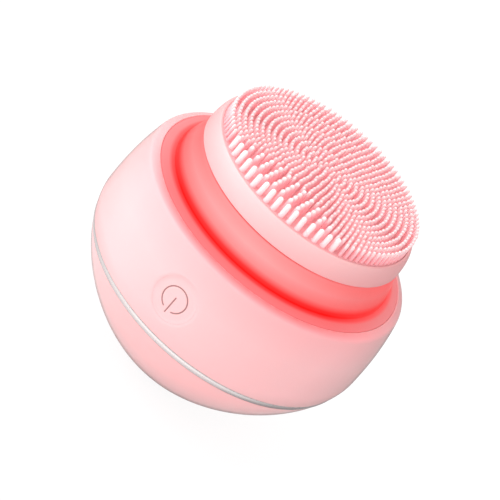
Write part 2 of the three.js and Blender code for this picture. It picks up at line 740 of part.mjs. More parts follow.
function buildHead() {
  const steps = 3;
  const side = Array.from({ length: steps + 1 }, (_, index) => {
    const z = HEAD_LOW + (COLLAR_TOP_Z - HEAD_LOW) * (1 - (1 - index / steps) ** 1.6);
    return [collarRadius(z), z];
  });
  place("head_ring", "shoulder", ring([
    [HEAD_SHELF_RADIUS, HEAD_LOW],
    ...side,
    [COLLAR_TOP_RADIUS, COLLAR_TOP_Z],
    [COLLAR_TOP_RADIUS, PAD_LOW - 0.05],
    [HEAD_SHELF_RADIUS, PAD_LOW - 0.05],
  ], SHELL_SIDES));

  // Carrier: a rimmed plate with the socket that drops onto the spindle's hexagon
  const rimRadius = HEAD_SHELF_RADIUS - 0.15;
  const rimInner = rimRadius - 1.5;
  const rimLow = HEAD_LOW + 0.6;
  const carrierTop = PAD_LOW - 0.1;
  const webLow = 63.5;
  const hubRadius = 5.5;
  const hubLow = HEAD_LOW + 0.3;
  const carrier = turned([
    [0, hubLow],
    [hubRadius, hubLow],
    [hubRadius, webLow],
    [rimInner, webLow],
    [rimInner, rimLow],
    [rimRadius, rimLow],
    [rimRadius, carrierTop],
    [0, carrierTop],
  ], SHELL_SIDES);
  const socket = rod(HEX_RADIUS + 0.15, HEAD_LOW, SPINDLE_TOP + 0.15, 6);
  place("head_carrier", "frame", combine(carrier, [], [socket]));

  place("bristle_pad", "bristle", rod(COLLAR_TOP_RADIUS - 0.1, PAD_LOW, PAD_TOP, SHELL_SIDES));
}

// Half the angle, seen from a circle's centre, that the other circle cuts off
function cutAngle(radius, otherRadius, distance) {
  return Math.acos((distance ** 2 + radius ** 2 - otherRadius ** 2) / (2 * distance * radius));
}

function buildBristles() {
  const low = PAD_TOP + 0.1;
  const down = -Math.PI / 2;
  const distance = -FIRM_ZONE_Y;
  const discCut = cutAngle(BRISTLE_RADIUS, FIRM_ZONE_RADIUS, distance);
  const zoneCut = cutAngle(FIRM_ZONE_RADIUS, BRISTLE_RADIUS, distance);
  const firm = new THREE.Shape();
  firm.absarc(0, 0, BRISTLE_RADIUS, down - discCut, down + discCut, false);
  firm.absarc(0, FIRM_ZONE_Y, FIRM_ZONE_RADIUS, -down - zoneCut, -down + zoneCut, false);
  place("firm_bristles", "bristle", prism(firm, low, BRISTLE_TOP, 8));

  const edge = FIRM_ZONE_RADIUS + ZONE_GAP;
  const wideDiscCut = cutAngle(BRISTLE_RADIUS, edge, distance);
  const wideZoneCut = cutAngle(edge, BRISTLE_RADIUS, distance);
  const fine = new THREE.Shape();
  fine.absarc(0, 0, BRISTLE_RADIUS, down + wideDiscCut, down - wideDiscCut + 2 * Math.PI, false);
  fine.absarc(0, FIRM_ZONE_Y, edge, -down + wideZoneCut, -down - wideZoneCut, true);
  place("fine_bristles", "bristle", prism(fine, low, BRISTLE_TOP, 20));
}

// ---- Leads to the circuit board ----

function wire(points) {
  const radius = 0.5;
  const path = new THREE.CubicBezierCurve3(...points.map((point) => new THREE.Vector3(...point)));
  const section = new THREE.Shape();
  section.absarc(0, 0, radius, 0, 2 * Math.PI);
  return new THREE.ExtrudeGeometry(section, { steps: 7, extrudePath: path, curveSegments: 4 });
}

function buildLeads() {
  const boardY = BOARD_BACK_Y + 0.7;
  const fromCell = CELL_HALF_LENGTH + 1.5;
  const cellPadX = 9;
  const motorPadX = 4;
  const motorTagZ = MOTOR_LOW + 1.2;
  for (const [side, colour, finish] of [[1, "red", "redWire"], [-1, "black", "black"]]) {
    place(`battery_lead_${colour}`, finish, wire([
      [side * fromCell, 0, CELL_Z],
      [side * (fromCell + 4), -8, CELL_Z + 3],
      [side * (cellPadX + 1), boardY, 22],
      [side * cellPadX, boardY, 33],
    ]));
    place(`motor_lead_${colour}`, finish, wire([
      [side * motorPadX, -MOTOR_RADIUS - 0.4, motorTagZ],
      [side * motorPadX, -MOTOR_RADIUS - 7, motorTagZ],
      [side * motorPadX, boardY, 26],
      [side * motorPadX, boardY, 32],
    ]));
  }
}

buildLowerShell();
buildFootPad();
buildContacts();
buildBattery();
buildTrim();
buildUpperShell();
buildButton();
buildSwitch();
buildMainBoard();
buildMotor();
buildGears();
buildSpindle();
buildGearbox();
buildLightRing();
buildNeck();
buildLeds();
buildHead();
buildBristles();
buildLeads();

export default brush;
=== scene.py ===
"""Facial cleansing brush: the looks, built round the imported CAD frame.

Shapes are drawn in millimetres, in the CAD frame, and turned into metres when a mesh is made.
Heights and radii come from the CAD nodes' boxes. The front of the brush faces -Y.
"""
import json
import math
import random

import bmesh
import bpy
import numpy as np
from mathutils import Matrix, Vector


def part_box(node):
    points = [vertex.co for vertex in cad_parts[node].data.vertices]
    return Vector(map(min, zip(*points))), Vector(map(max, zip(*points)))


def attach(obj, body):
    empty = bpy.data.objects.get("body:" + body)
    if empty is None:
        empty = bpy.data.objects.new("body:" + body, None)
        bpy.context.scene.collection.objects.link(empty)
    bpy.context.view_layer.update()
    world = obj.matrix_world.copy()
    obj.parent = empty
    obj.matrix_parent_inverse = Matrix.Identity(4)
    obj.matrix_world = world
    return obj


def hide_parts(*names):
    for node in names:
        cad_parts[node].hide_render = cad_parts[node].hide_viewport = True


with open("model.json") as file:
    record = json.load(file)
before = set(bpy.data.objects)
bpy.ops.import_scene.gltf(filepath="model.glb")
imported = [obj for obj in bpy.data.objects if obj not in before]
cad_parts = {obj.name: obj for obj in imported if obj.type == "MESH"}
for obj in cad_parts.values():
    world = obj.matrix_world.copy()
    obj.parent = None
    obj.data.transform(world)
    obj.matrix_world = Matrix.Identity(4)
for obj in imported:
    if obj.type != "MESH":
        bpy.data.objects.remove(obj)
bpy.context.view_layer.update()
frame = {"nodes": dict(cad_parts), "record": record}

SLOTS = {part["node"]: part["material_slot"] for part in frame["record"]["subparts"]}

MM = 0.001
SEED = 7
FRONT = -math.pi / 2


def cad_box(node):
    """Lowest and highest corner of a CAD node, in millimetres."""
    low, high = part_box(node)
    return low / MM, high / MM


# ---- Sizes read from the frame ----

SHELL_LOW, SHELL_HIGH = cad_box("upper_shell")
TRIM_LOW, TRIM_HIGH = cad_box("trim_ring")
NECK_LOW, NECK_HIGH = cad_box("neck")
RING_LOW, RING_HIGH = cad_box("light_ring")
COLLAR_LOW, COLLAR_HIGH = cad_box("head_ring")
PAD_LOW, PAD_HIGH = cad_box("bristle_pad")
BRISTLE_HIGH = cad_box("fine_bristles")[1]
BUTTON_LOW, BUTTON_HIGH = cad_box("button_cap")
CARRIER_LOW, CARRIER_HIGH = cad_box("head_carrier")
SPINDLE_LOW, SPINDLE_HIGH = cad_box("output_spindle")
SEAL_LOW, SEAL_HIGH = cad_box("shaft_seal")
FOOT_LOW, FOOT_HIGH = cad_box("foot_pad")
CONTACT_LOW, CONTACT_HIGH = cad_box("charge_contact_right")
BOWL_LOW = cad_box("lower_shell")[0]

# The ball's outline: a superellipse below its widest circle and another above it
BODY_RADIUS = SHELL_HIGH.x
BELLY_Z = 31.14
LOWER_SPAN, LOWER_POWER = 33.87, 1.6
UPPER_SPAN, UPPER_POWER = 50.1, 2.23
WALL = 2.2

# The upper shell's spigot, which stands inside the trim ring
SPIGOT_OUTER = 33.2
SPIGOT_INNER = 31.8

# The shoulder
CREASE_Z = 49.9
LIP_RADIUS = RING_HIGH.x + 0.2
RING_TOP_OUTER = SHELL_HIGH.z - 0.25
LEDGE_Z = RING_LOW.z - 0.1
LEDGE_THICKNESS = 1.4
LEDGE_INNER = 30.6
NECK_FOOT_RADIUS = NECK_HIGH.x
NECK_FOOT_Z = RING_HIGH.z + 0.15
NECK_TOP_RADIUS = 28.9

# The button: cap, dish and power sign. The dish runs on from the cap into the shell.
BUTTON_Z = (BUTTON_LOW.z + BUTTON_HIGH.z) / 2
CAP_RADIUS = 5.785
HOLE_RADIUS = 5.8
FLANGE_RADIUS = 7.2
FLANGE_THICKNESS = 1.0
FLANGE_FRONT_Y = -35.4
STEM_RADIUS = 1.6
DISH_DEPTH = 0.38
DISH_BOWL = 0.12
DISH_INNER = 4.7
DISH_OUTER = 6.7
SIGN_RADIUS = 3.3
SIGN_WIDTH = 0.4
SIGN_GAP = math.radians(45)
SIGN_BAR = (-4.0, 0.5)
SIGN_DEPTH = 0.13

# The bristles
FINE_SPACING = 1.655
FINE_RADIUS = 0.43
FIRM_RADIUS = 0.68
FIRM_INNER_SCALE = 0.9
FIRM_COLUMN = 2.58
FIRM_ROW = 2.41
FIRM_RIM_SPACING = 2.4
FIRM_ZONE_Y = -42.9
FIRM_ZONE_RADIUS = 27.5
FIRM_RIM = 26.4
FIRM_RIM_HALF_ANGLE = math.radians(39)
RIM_ROW_INNER = 25.3
LEAN_SPREAD = 0.012
LENGTH_SPREAD = 0.008

# Faces round a turned piece
SIDES = 240


# ---- View and key light directions ----

# The main view's camera, from a fit to the circles of the brush
CAMERA_AZIMUTH = math.radians(10.07)
CAMERA_ELEVATION = math.radians(30.97)
CAMERA_ROLL = math.radians(41.01)
CAMERA_DISTANCE = 551.6
CAMERA_LENS = 161.5
AIM_ACROSS, AIM_UP = 5.89, 8.70


def view_axes():
    """The level view's right, up and back directions."""
    a, e = CAMERA_AZIMUTH, CAMERA_ELEVATION
    back = Vector((math.sin(a) * math.cos(e), -math.cos(a) * math.cos(e), math.sin(e)))
    right = Vector((math.cos(a), math.sin(a), 0))
    return right, back.cross(right), back


def key_direction():
    """Toward the key light: left of the camera, above it and in front of the brush."""
    right, up, back = view_axes()
    return (-right * 0.72 + up * 0.42 + back * 0.55).normalized()


# ---- Profiles ----

def body_radius(z, inset=0.0):
    """Radius of the ball's outline at a height, or of that outline drawn inside it by inset."""
    below = z < BELLY_Z
    span = (LOWER_SPAN if below else UPPER_SPAN) - inset
    power = LOWER_POWER if below else UPPER_POWER
    height = abs(z - BELLY_Z) / span
    return (BODY_RADIUS - inset) * (1 - height ** power) ** (1 / power)


def outline(start, end, steps, inset=0.0, crowding=1.0):
    """Points of the ball's outline, closer together near the start when crowding is over 1."""
    heights = [start + (end - start) * (i / steps) ** crowding for i in range(steps + 1)]
    return [(body_radius(z, inset), z) for z in heights]


def rounded(corners, steps):
    """Turns (radius, height) or (radius, height, fillet) corners into points, fillets as arcs."""
    points = []
    for i, (radius, z, *fillet) in enumerate(corners):
        here = Vector((radius, z))
        if not fillet:
            points.append(tuple(here))
            continue
        before = (Vector(corners[i - 1][:2]) - here).normalized()
        after = (Vector(corners[(i + 1) % len(corners)][:2]) - here).normalized()
        half = before.angle(after) / 2
        reach = fillet[0] / math.tan(half)
        middle = here + (before + after).normalized() * (fillet[0] / math.sin(half))
        first = here + before * reach - middle
        last = here + after * reach - middle
        sweep = first.angle_signed(last)
        for step in range(steps + 1):
            turn = Matrix.Rotation(-sweep * step / steps, 2)
            points.append(tuple(middle + turn @ first))
    return points


# ---- Mesh helpers ----

def add_object(name, data):
    made = bpy.data.objects.new(name, data)
    bpy.context.scene.collection.objects.link(made)
    return made


def mesh_object(name, mesh, material, smooth_angle=None):
    """A smooth-shaded object; edges sharper than smooth_angle degrees stay sharp."""
    mesh.shade_smooth()
    if smooth_angle:
        mesh.set_sharp_from_angle(angle=math.radians(smooth_angle))
    mesh.materials.clear()
    mesh.materials.append(material)
    mark_edges(mesh)
    return add_object(name, mesh)


def make_object(name, vertices, faces, material, smooth_angle=None):
    """A mesh object in metres from vertices in millimetres."""
    mesh = bpy.data.meshes.new(name)
    mesh.from_pydata([tuple(c * MM for c in v) for v in vertices], [], faces)
    mesh.validate()
    return mesh_object(name, mesh, material, smooth_angle)


def mark_edges(mesh):
    """Stores how convex each vertex is: near 0 on smooth ground, more on a fillet or an edge."""
    places = np.empty((len(mesh.vertices), 3), np.float32)
    normals = np.empty((len(mesh.vertices), 3), np.float32)
    ends = np.empty((len(mesh.edges), 2), np.int32)
    mesh.vertices.foreach_get("co", places.ravel())
    mesh.vertices.foreach_get("normal", normals.ravel())
    mesh.edges.foreach_get("vertices", ends.ravel())
    bend = np.zeros(len(places))
    count = np.zeros(len(places))
    for here, there in ((ends[:, 0], ends[:, 1]), (ends[:, 1], ends[:, 0])):
        along = places[here] - places[there]
        along /= np.maximum(np.linalg.norm(along, axis=1), 1e-9)[:, None]
        np.add.at(bend, here, (along * normals[here]).sum(axis=1))
        np.add.at(count, here, 1)
    attribute = mesh.attributes.new("convexity", "FLOAT", "POINT")
    attribute.data.foreach_set("value", (bend / np.maximum(count, 1)).astype(np.float32))


def hexagon(radius, angle):
    """Distance from the axis to a hexagon's side; radius is that of its corners."""
    sector = math.radians(60)
    offset = angle % sector - sector / 2
    return radius * math.cos(sector / 2) / math.cos(offset)


def bridge(rows):
    """Faces between neighbouring rows of vertex indices. A row of one repeated index is a pole."""
    faces = []
    for here, following in zip(rows, rows[1:]):
        for i in range(len(here)):
            j = (i + 1) % len(here)
            loop = [here[i], here[j], following[j], following[i]]
            faces.append([v for k, v in enumerate(loop) if v != loop[k - 1]])
    return faces


def turned(profile, sides, hex_points=()):
    """Vertices and faces of an anticlockwise profile turned round Z.

    A profile that starts on the axis ends there too, at poles. Any other one is closed.
    """
    vertices, rows = [], []
    for index, (radius, z) in enumerate(profile):
        if radius == 0:
            rows.append([len(vertices)] * sides)
            vertices.append((0, 0, z))
            continue
        rows.append([len(vertices) + side for side in range(sides)])
        for side in range(sides):
            angle = 2 * math.pi * side / sides
            reach = hexagon(radius, angle) if index in hex_points else radius
            vertices.append((reach * math.cos(angle), reach * math.sin(angle), z))
    if profile[0][0] > 0:
        rows.append(rows[0])
    return vertices, bridge(rows)


def finish_piece(piece, body, node):
    """The piece rides a body and stands for one CAD node, which it hides."""
    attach(piece, body)
    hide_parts(node)


def weight_normals(piece):
    """Flat faces keep flat shading next to their fillets."""
    modifier = piece.modifiers.new("normals", "WEIGHTED_NORMAL")
    modifier.keep_sharp = True
    modifier.weight = 80


def turned_piece(node, profile, material, body, sides=SIDES, across=0, hex_points=()):
    """A piece turned round the brush's axis, or round one beside it. A hexagon's edges are sharp."""
    vertices, faces = turned(profile, sides, hex_points)
    vertices = [(x + across, y, z) for x, y, z in vertices]
    smooth_angle = 25 if hex_points else None
    piece = make_object(node + "_skin", vertices, faces, material, smooth_angle)
    if not hex_points:
        weight_normals(piece)
    finish_piece(piece, body, node)


# ---- Material helpers ----

# Painted shade that a satin surface fades to at its outline (the bowl's is a painted grey sheen),
# and the painted dark line right at the outline
OUTLINE_SHADE = (0.42, 0.29, 0.285)
BOWL_OUTLINE_SHEEN = (0.52, 0.51, 0.51)
HEAD_OUTLINE_SHADE = (0.62, 0.26, 0.265)
OUTLINE_SHADE_LINE = (0.15, 0.125, 0.125)

# Convexity at which an edge starts to be lightened, as wear and painted highlight, and at which it
# is fully lightened
WEAR_HIGHLIGHT_START = 0.03
WEAR_HIGHLIGHT_FULL = 0.09


def connect(tree, node, inputs):
    """Gives a node's inputs, by name or index, a value or another node's output each."""
    for key, value in inputs.items():
        if isinstance(value, bpy.types.NodeSocket):
            tree.links.new(value, node.inputs[key])
        else:
            node.inputs[key].default_value = value


def add_node(tree, kind, inputs=None, **settings):
    made = tree.nodes.new(kind)
    for key, value in settings.items():
        setattr(made, key, value)
    connect(tree, made, inputs or {})
    return made


def start_material(name):
    """A new material, its node tree, its shader and each point's place in metres."""
    material = bpy.data.materials.new(name)
    material.use_nodes = True
    tree = material.node_tree
    place = add_node(tree, "ShaderNodeTexCoord").outputs["Object"]
    return material, tree, tree.nodes["Principled BSDF"], place


def noise(tree, place, size, detail=3.0):
    """Noise whose features are about size millimetres across."""
    settings = {"Vector": place, "Scale": 1 / (size * MM), "Detail": detail}
    return add_node(tree, "ShaderNodeTexNoise", settings).outputs["Fac"]


def remap(tree, value, low, high, new_low, new_high):
    """Value's range low to high becomes new_low to new_high, and stays inside it."""
    settings = {0: value, 1: low, 2: high, 3: new_low, 4: new_high}
    return add_node(tree, "ShaderNodeMapRange", settings).outputs[0]


def math_node(tree, operation, first, second):
    return add_node(tree, "ShaderNodeMath", {0: first, 1: second}, operation=operation).outputs[0]


def vector_node(tree, operation, *inputs):
    made = add_node(tree, "ShaderNodeVectorMath", dict(enumerate(inputs)), operation=operation)
    gives_number = operation in ("DOT_PRODUCT", "LENGTH")
    return made.outputs["Value" if gives_number else "Vector"]


def times(tree, first, second):
    return math_node(tree, "MULTIPLY", first, second)


def varied(tree, place, size, low, high, detail=3.0):
    """A value that wanders from low to high in patches about size millimetres across."""
    return remap(tree, noise(tree, place, size, detail), 0.3, 0.7, low, high)


def brushed_noise(tree, place, size, stretch):
    """Noise drawn out round the axis, as brushing leaves it."""
    drawn = add_node(tree, "ShaderNodeMapping", {"Vector": place, "Scale": (1, 1, stretch)})
    return noise(tree, drawn.outputs[0], size, 6)


def ramp(tree, value, stops):
    """A colour ramp from (position, (r, g, b)) stops."""
    made = add_node(tree, "ShaderNodeValToRGB", {0: value})
    elements = made.color_ramp.elements
    while len(elements) < len(stops):
        elements.new(0.5)
    for element, (position, colour) in zip(elements, stops):
        element.position = position
        element.color = (*colour, 1)
    return made.outputs["Color"]


def mix_colour(tree, factor, first, second, blend="MIX"):
    """Two colours blended; each is an output or (r, g, b)."""
    made = add_node(tree, "ShaderNodeMix", {0: factor}, data_type="RGBA", blend_type=blend)
    for socket, value in ((6, first), (7, second)):
        linked = isinstance(value, bpy.types.NodeSocket)
        connect(tree, made, {socket: value if linked else (*value, 1)})
    return made.outputs[2]


def grey(tree, value):
    return add_node(tree, "ShaderNodeCombineColor", {0: value, 1: value, 2: value}).outputs[0]


def scaled(colour, factor):
    return tuple(min(1.0, c * factor) for c in colour)


def add_bump(tree, shader, height, strength, depth):
    """Bump of a depth in millimetres."""
    settings = {"Strength": strength, "Distance": depth * MM, "Height": height}
    bump = add_node(tree, "ShaderNodeBump", settings)
    connect(tree, shader, {"Normal": bump.outputs["Normal"]})


def height_share(tree, place, low, high):
    """0 at height low and 1 at height high, both in millimetres."""
    z = add_node(tree, "ShaderNodeSeparateXYZ", {0: place}).outputs["Z"]
    return remap(tree, z, low * MM, high * MM, 0, 1)


def edge_wear_and_highlight(tree, place):
    """1 where a convex edge is lightened in patches, as wear and painted highlight, 0 elsewhere.
    mark_edges stores the convexity.
    """
    convexity = add_node(tree, "ShaderNodeAttribute", attribute_name="convexity").outputs["Fac"]
    edge = remap(tree, convexity, WEAR_HIGHLIGHT_START, WEAR_HIGHLIGHT_FULL, 0, 1)
    patches = remap(tree, noise(tree, place, 1.5), 0.4, 0.6, 0.3, 1)
    return times(tree, edge, patches)


def level_part(tree, place):
    """The place without its height."""
    return vector_node(tree, "MULTIPLY", place, (1, 1, 0))


def side_share(tree, place, start=45):
    """0 toward the camera, rising from start degrees to 1 at 80, round either side of the axis."""
    level = Vector((math.sin(CAMERA_AZIMUTH), -math.cos(CAMERA_AZIMUTH), 0))
    outward = vector_node(tree, "NORMALIZE", level_part(tree, place))
    toward = vector_node(tree, "DOT_PRODUCT", outward, level)
    near = math.cos(math.radians(start))
    far = math.cos(math.radians(80))
    return remap(tree, toward, near, far, 0, 1)


def limb(tree, start, power):
    """0 where the surface faces the viewer, rising to 1 at the outline."""
    facing = add_node(tree, "ShaderNodeLayerWeight", {"Blend": 0.5}).outputs["Facing"]
    rising = remap(tree, facing, start, 1, 0, 1)
    return math_node(tree, "POWER", rising, power)


def satin_plastic(name, colour, roughness=0.42, grain=0.16, subsurface=0.12, tint=None,
                  limb_colour=OUTLINE_SHADE, limb_start=0.4, limb_power=1.3, dark_line=0.75):
    """Moulded satin plastic with clouds, speckle, convex edges lightened in patches (wear and a
    painted highlight), painted shade at its outline (on the bowl a painted grey sheen) and a painted
    dark line there.

    tint, if given, returns a colour from (tree, place, colour). grain is in millimetres.
    """
    material, tree, shader, place = start_material(name)
    cloudy = noise(tree, place, 14)
    tone = mix_colour(tree, cloudy, scaled(colour, 0.975), scaled(colour, 1.02))
    if tint:
        tone = tint(tree, place, tone)
    speckle = remap(tree, noise(tree, place, grain * 2, 2), 0.35, 0.65, 0, 0.03)
    tone = mix_colour(tree, speckle, tone, scaled(colour, 0.6))
    # Convex edges lightened in patches: wear and a painted highlight
    wear_and_highlight = edge_wear_and_highlight(tree, place)
    tone = mix_colour(tree, times(tree, wear_and_highlight, 0.25), tone, scaled(colour, 1.15))
    # Painted shade at the outline, and a painted dark line right at it
    painted_outline_share = limb(tree, limb_start, limb_power)
    tone = mix_colour(tree, times(tree, painted_outline_share, 0.9), tone, limb_colour)
    line_share = times(tree, limb(tree, 0.84, 1.0), dark_line)
    tone = mix_colour(tree, line_share, tone, OUTLINE_SHADE_LINE)
    rough = varied(tree, place, 5, roughness - 0.05, roughness + 0.06)
    connect(tree, shader, {
        "Base Color": tone,
        "Specular IOR Level": remap(tree, painted_outline_share, 0, 1, 0.25, 0.03),
        "Roughness": math_node(tree, "SUBTRACT", rough, times(tree, wear_and_highlight, 0.12)),
        "Subsurface Weight": subsurface,
        "Subsurface Radius": (0.003, 0.0012, 0.001),
        "Subsurface Scale": 1,
    })
    add_bump(tree, shader, noise(tree, place, grain, 4), 0.22, 0.02)
    return material


# ---- Materials of the outside ----

SHELL_PINK = (0.93, 0.515, 0.525)
HEAD_PINK = (0.93, 0.51, 0.515)
# Painted red glow of the lit ring on the shell's band and the collar's foot, and its deepest red at
# the lip
GLOW_SPILL_PINK = (0.93, 0.40, 0.42)
GLOW_PINK = (0.93, 0.11, 0.12)
BOWL_PINK = (0.93, 0.50, 0.505)
# The pad is painted deeper salmon than the head: painted shade and inter-reflection between the
# bristles
PAD_SHADE_PINK = (0.86, 0.34, 0.36)
FOOT_PINK = (0.80, 0.50, 0.51)
SIGN_GROOVE_SHADE = (0.36, 0.19, 0.185)
SILVER_DULL = (0.86, 0.855, 0.85)
SILVER_BRIGHT = (0.98, 0.975, 0.97)
SILVER_WORN_HIGHLIGHT = (0.98, 0.97, 0.96)
SILVER_OUTLINE_SHADE = (0.12, 0.11, 0.11)


def shoulder_glow(tree, place, tone):
    """Painted glow: the shell just under the crease is tinted with the lit ring's red light, and the
    band from the crease to the lip takes on the ring's colour, less so at the sides.
    """
    spill = times(tree, height_share(tree, place, CREASE_Z - 9, CREASE_Z), 0.6)
    tone = mix_colour(tree, spill, tone, GLOW_SPILL_PINK)
    up_band = height_share(tree, place, CREASE_Z, SHELL_HIGH.z)
    band = ramp(tree, up_band, [(0, GLOW_SPILL_PINK), (1, GLOW_PINK)])
    on_band = height_share(tree, place, CREASE_Z - 0.5, CREASE_Z + 0.1)
    lit = remap(tree, side_share(tree, place, 30), 0, 1, 1, 0.15)
    return mix_colour(tree, times(tree, on_band, lit), tone, band)


def collar_glow(tree, place, tone):
    """Painted glow: the collar's foot takes on some of the neck's red light."""
    near_foot = height_share(tree, place, COLLAR_LOW.z + 4, COLLAR_LOW.z)
    spill = times(tree, near_foot, 0.35)
    return mix_colour(tree, spill, tone, GLOW_SPILL_PINK)


def sign_groove_shade(tree, place, tone):
    """Painted shade: the power sign's groove is darker than the cap."""
    mask = add_node(tree, "ShaderNodeAttribute", attribute_name="groove").outputs["Fac"]
    return mix_colour(tree, mask, tone, SIGN_GROOVE_SHADE)


def key_shade(tree, key_side):
    """The silver ring's brightness: duller away from the key light, and right under it."""
    normal = add_node(tree, "ShaderNodeNewGeometry").outputs["Normal"]
    toward_key = vector_node(tree, "DOT_PRODUCT", normal, key_side)
    away = remap(tree, toward_key, -0.31, -0.62, 1, 0.35)
    close = remap(tree, toward_key, 0.67, 0.75, 1, 0.78)
    return times(tree, away, close)


def silver(key_side):
    """Brushed silver with painted shade along its upper edge and at its outline, and painted shading
    from the key light's direction.
    """
    material, tree, shader, place = start_material("silver_trim")
    brushed = brushed_noise(tree, place, 0.6, 12)
    tone = mix_colour(tree, brushed, SILVER_DULL, SILVER_BRIGHT)
    across = height_share(tree, place, TRIM_LOW.z, TRIM_HIGH.z)
    # Painted shade along the ring's upper edge
    upper_edge_shade = ramp(tree, across, [(0.75, (1, 1, 1)), (1, (0.6, 0.59, 0.59))])
    tone = mix_colour(tree, 1.0, tone, upper_edge_shade, "MULTIPLY")
    tone = mix_colour(tree, 1.0, tone, grey(tree, key_shade(tree, key_side)), "MULTIPLY")
    # Painted shade at the outline
    painted_outline_share = times(tree, limb(tree, 0.32, 0.6), 0.72)
    tone = mix_colour(tree, painted_outline_share, tone, SILVER_OUTLINE_SHADE)
    # Edges lightened a little: wear and a painted highlight
    wear_and_highlight = times(tree, edge_wear_and_highlight(tree, place), 0.1)
    tone = mix_colour(tree, wear_and_highlight, tone, SILVER_WORN_HIGHLIGHT)
    connect(tree, shader, {
        "Base Color": tone,
        "Roughness": remap(tree, brushed, 0.3, 0.7, 0.22, 0.34),
        "Metallic": 1,
    })
    add_bump(tree, shader, brushed, 0.08, 0.01)
    return material


# Painted shade: what a lit piece's colour and glow are multiplied by where it turns away from the
# viewer
SIDE_SHADE_RED = (0.96, 0.28, 0.28)


def lit_plastic(name, low, high, body_stops, glow_stops, haze_stops, side_start, side_power):
    """Translucent red plastic lit from inside: its colour and its glow both follow the height.

    Round the sides haze_stops are added to the glow, so that the deep red fades there.
    """
    material, tree, shader, place = start_material(name)
    share = height_share(tree, place, low, high)
    tone = ramp(tree, share, body_stops)
    tone = mix_colour(tree, 0.06, tone, grey(tree, noise(tree, place, 0.3, 2)), "OVERLAY")
    # Painted shade where the piece turns away from the viewer
    side = times(tree, limb(tree, side_start, side_power), 0.95)
    glow = mix_colour(tree, side, ramp(tree, share, glow_stops), SIDE_SHADE_RED, "MULTIPLY")
    glow = mix_colour(tree, side_share(tree, place), glow, ramp(tree, share, haze_stops), "ADD")
    connect(tree, shader, {
        "Base Color": mix_colour(tree, side, tone, SIDE_SHADE_RED, "MULTIPLY"),
        "Emission Color": glow,
        "Emission Strength": varied(tree, place, 9, 0.95, 1.05),
        "Roughness": varied(tree, place, 4, 0.42, 0.52),
        "Specular IOR Level": 0.06,
    })
    add_bump(tree, shader, noise(tree, place, 0.2, 3), 0.12, 0.02)
    return material


def soft_bristle(name, root, middle, tip, heights=(0.6, 0.96), rim=None):
    """Moulded soft bristle, painted rosy at its root and palest at its tip (painted shade between
    the bristles, painted highlight at the tips), and lit a little from the pad by a painted glow.

    heights are the shares of its height where the middle and tip colours are reached, and rim gives
    the root and middle colours of the row along the disc's rim, if they differ: that row is painted
    paler, as it is less shaded by other bristles.
    """
    material, tree, shader, place = start_material(name)
    share = height_share(tree, place, PAD_HIGH.z, BRISTLE_HIGH.z)
    # Painted shade at the roots and painted highlight at the tips
    tone = ramp(tree, share, [(0, root), (heights[0], middle), (heights[1], tip)])
    # The rim row is painted paler, as it is less shaded by other bristles
    if rim:
        radius = vector_node(tree, "LENGTH", level_part(tree, place))
        at_rim = math_node(tree, "GREATER_THAN", radius, RIM_ROW_INNER * MM)
        rim_lit_tone = ramp(tree, share, [(0, rim[0]), (0.4, rim[1]), (0.96, tip)])
        tone = mix_colour(tree, at_rim, tone, rim_lit_tone)
    # Painted glow at the roots, for light through the silicone
    glow_stops = [(0, (0.20, 0.095, 0.10)), (0.6, (0.05, 0.04, 0.045)), (1, (0.01, 0.01, 0.01))]
    connect(tree, shader, {
        "Base Color": mix_colour(tree, varied(tree, place, 2.5, 0, 0.08), tone, middle),
        "Emission Color": ramp(tree, share, glow_stops),
        "Emission Strength": 1,
        "Roughness": varied(tree, place, 0.4, 0.34, 0.44),
        "Subsurface Weight": 0.3,
        "Subsurface Radius": (0.0012, 0.0006, 0.0005),
        "Subsurface Scale": 1,
    })
    add_bump(tree, shader, noise(tree, place, 0.12), 0.12, 0.01)
    return material


def foot_rubber():
    return satin_plastic("foot_rubber", FOOT_PINK, roughness=0.7, grain=0.3, subsurface=0)


def shell_plastic():
    return satin_plastic("shell_pink", SHELL_PINK, tint=shoulder_glow)


def bowl_plastic():
    return satin_plastic("bowl_pink", BOWL_PINK, limb_colour=BOWL_OUTLINE_SHEEN, limb_start=0.6)


def button_plastic():
    return satin_plastic("button_pink", SHELL_PINK, tint=sign_groove_shade)


def collar_plastic():
    return satin_plastic("head_pink", HEAD_PINK, tint=collar_glow, limb_colour=HEAD_OUTLINE_SHADE,
                         limb_start=0.15, limb_power=1.0, dark_line=0.3)


def pad_plastic():
    return satin_plastic("pad_pink", PAD_SHADE_PINK, roughness=0.5, subsurface=0.2)


def lit_ring_plastic():
    """From the ring's outer edge in to the neck: pink-red, then deep red."""
    body = [
        (0, (0.52, 0.11, 0.115)), (0.55, (0.52, 0.10, 0.105)),
        (0.8, (0.54, 0.03, 0.032)), (1, (0.56, 0.012, 0.012)),
    ]
    glow = [
        (0, (0.34, 0.07, 0.075)), (0.55, (0.37, 0.06, 0.06)),
        (0.8, (0.45, 0.02, 0.02)), (1, (0.52, 0.008, 0.008)),
    ]
    haze = [(0, (0, 0.08, 0.08)), (1, (0, 0.08, 0.08))]
    return lit_plastic("lit_ring", RING_TOP_OUTER, RING_HIGH.z, body, glow, haze,
                       side_start=0.6, side_power=1.3)


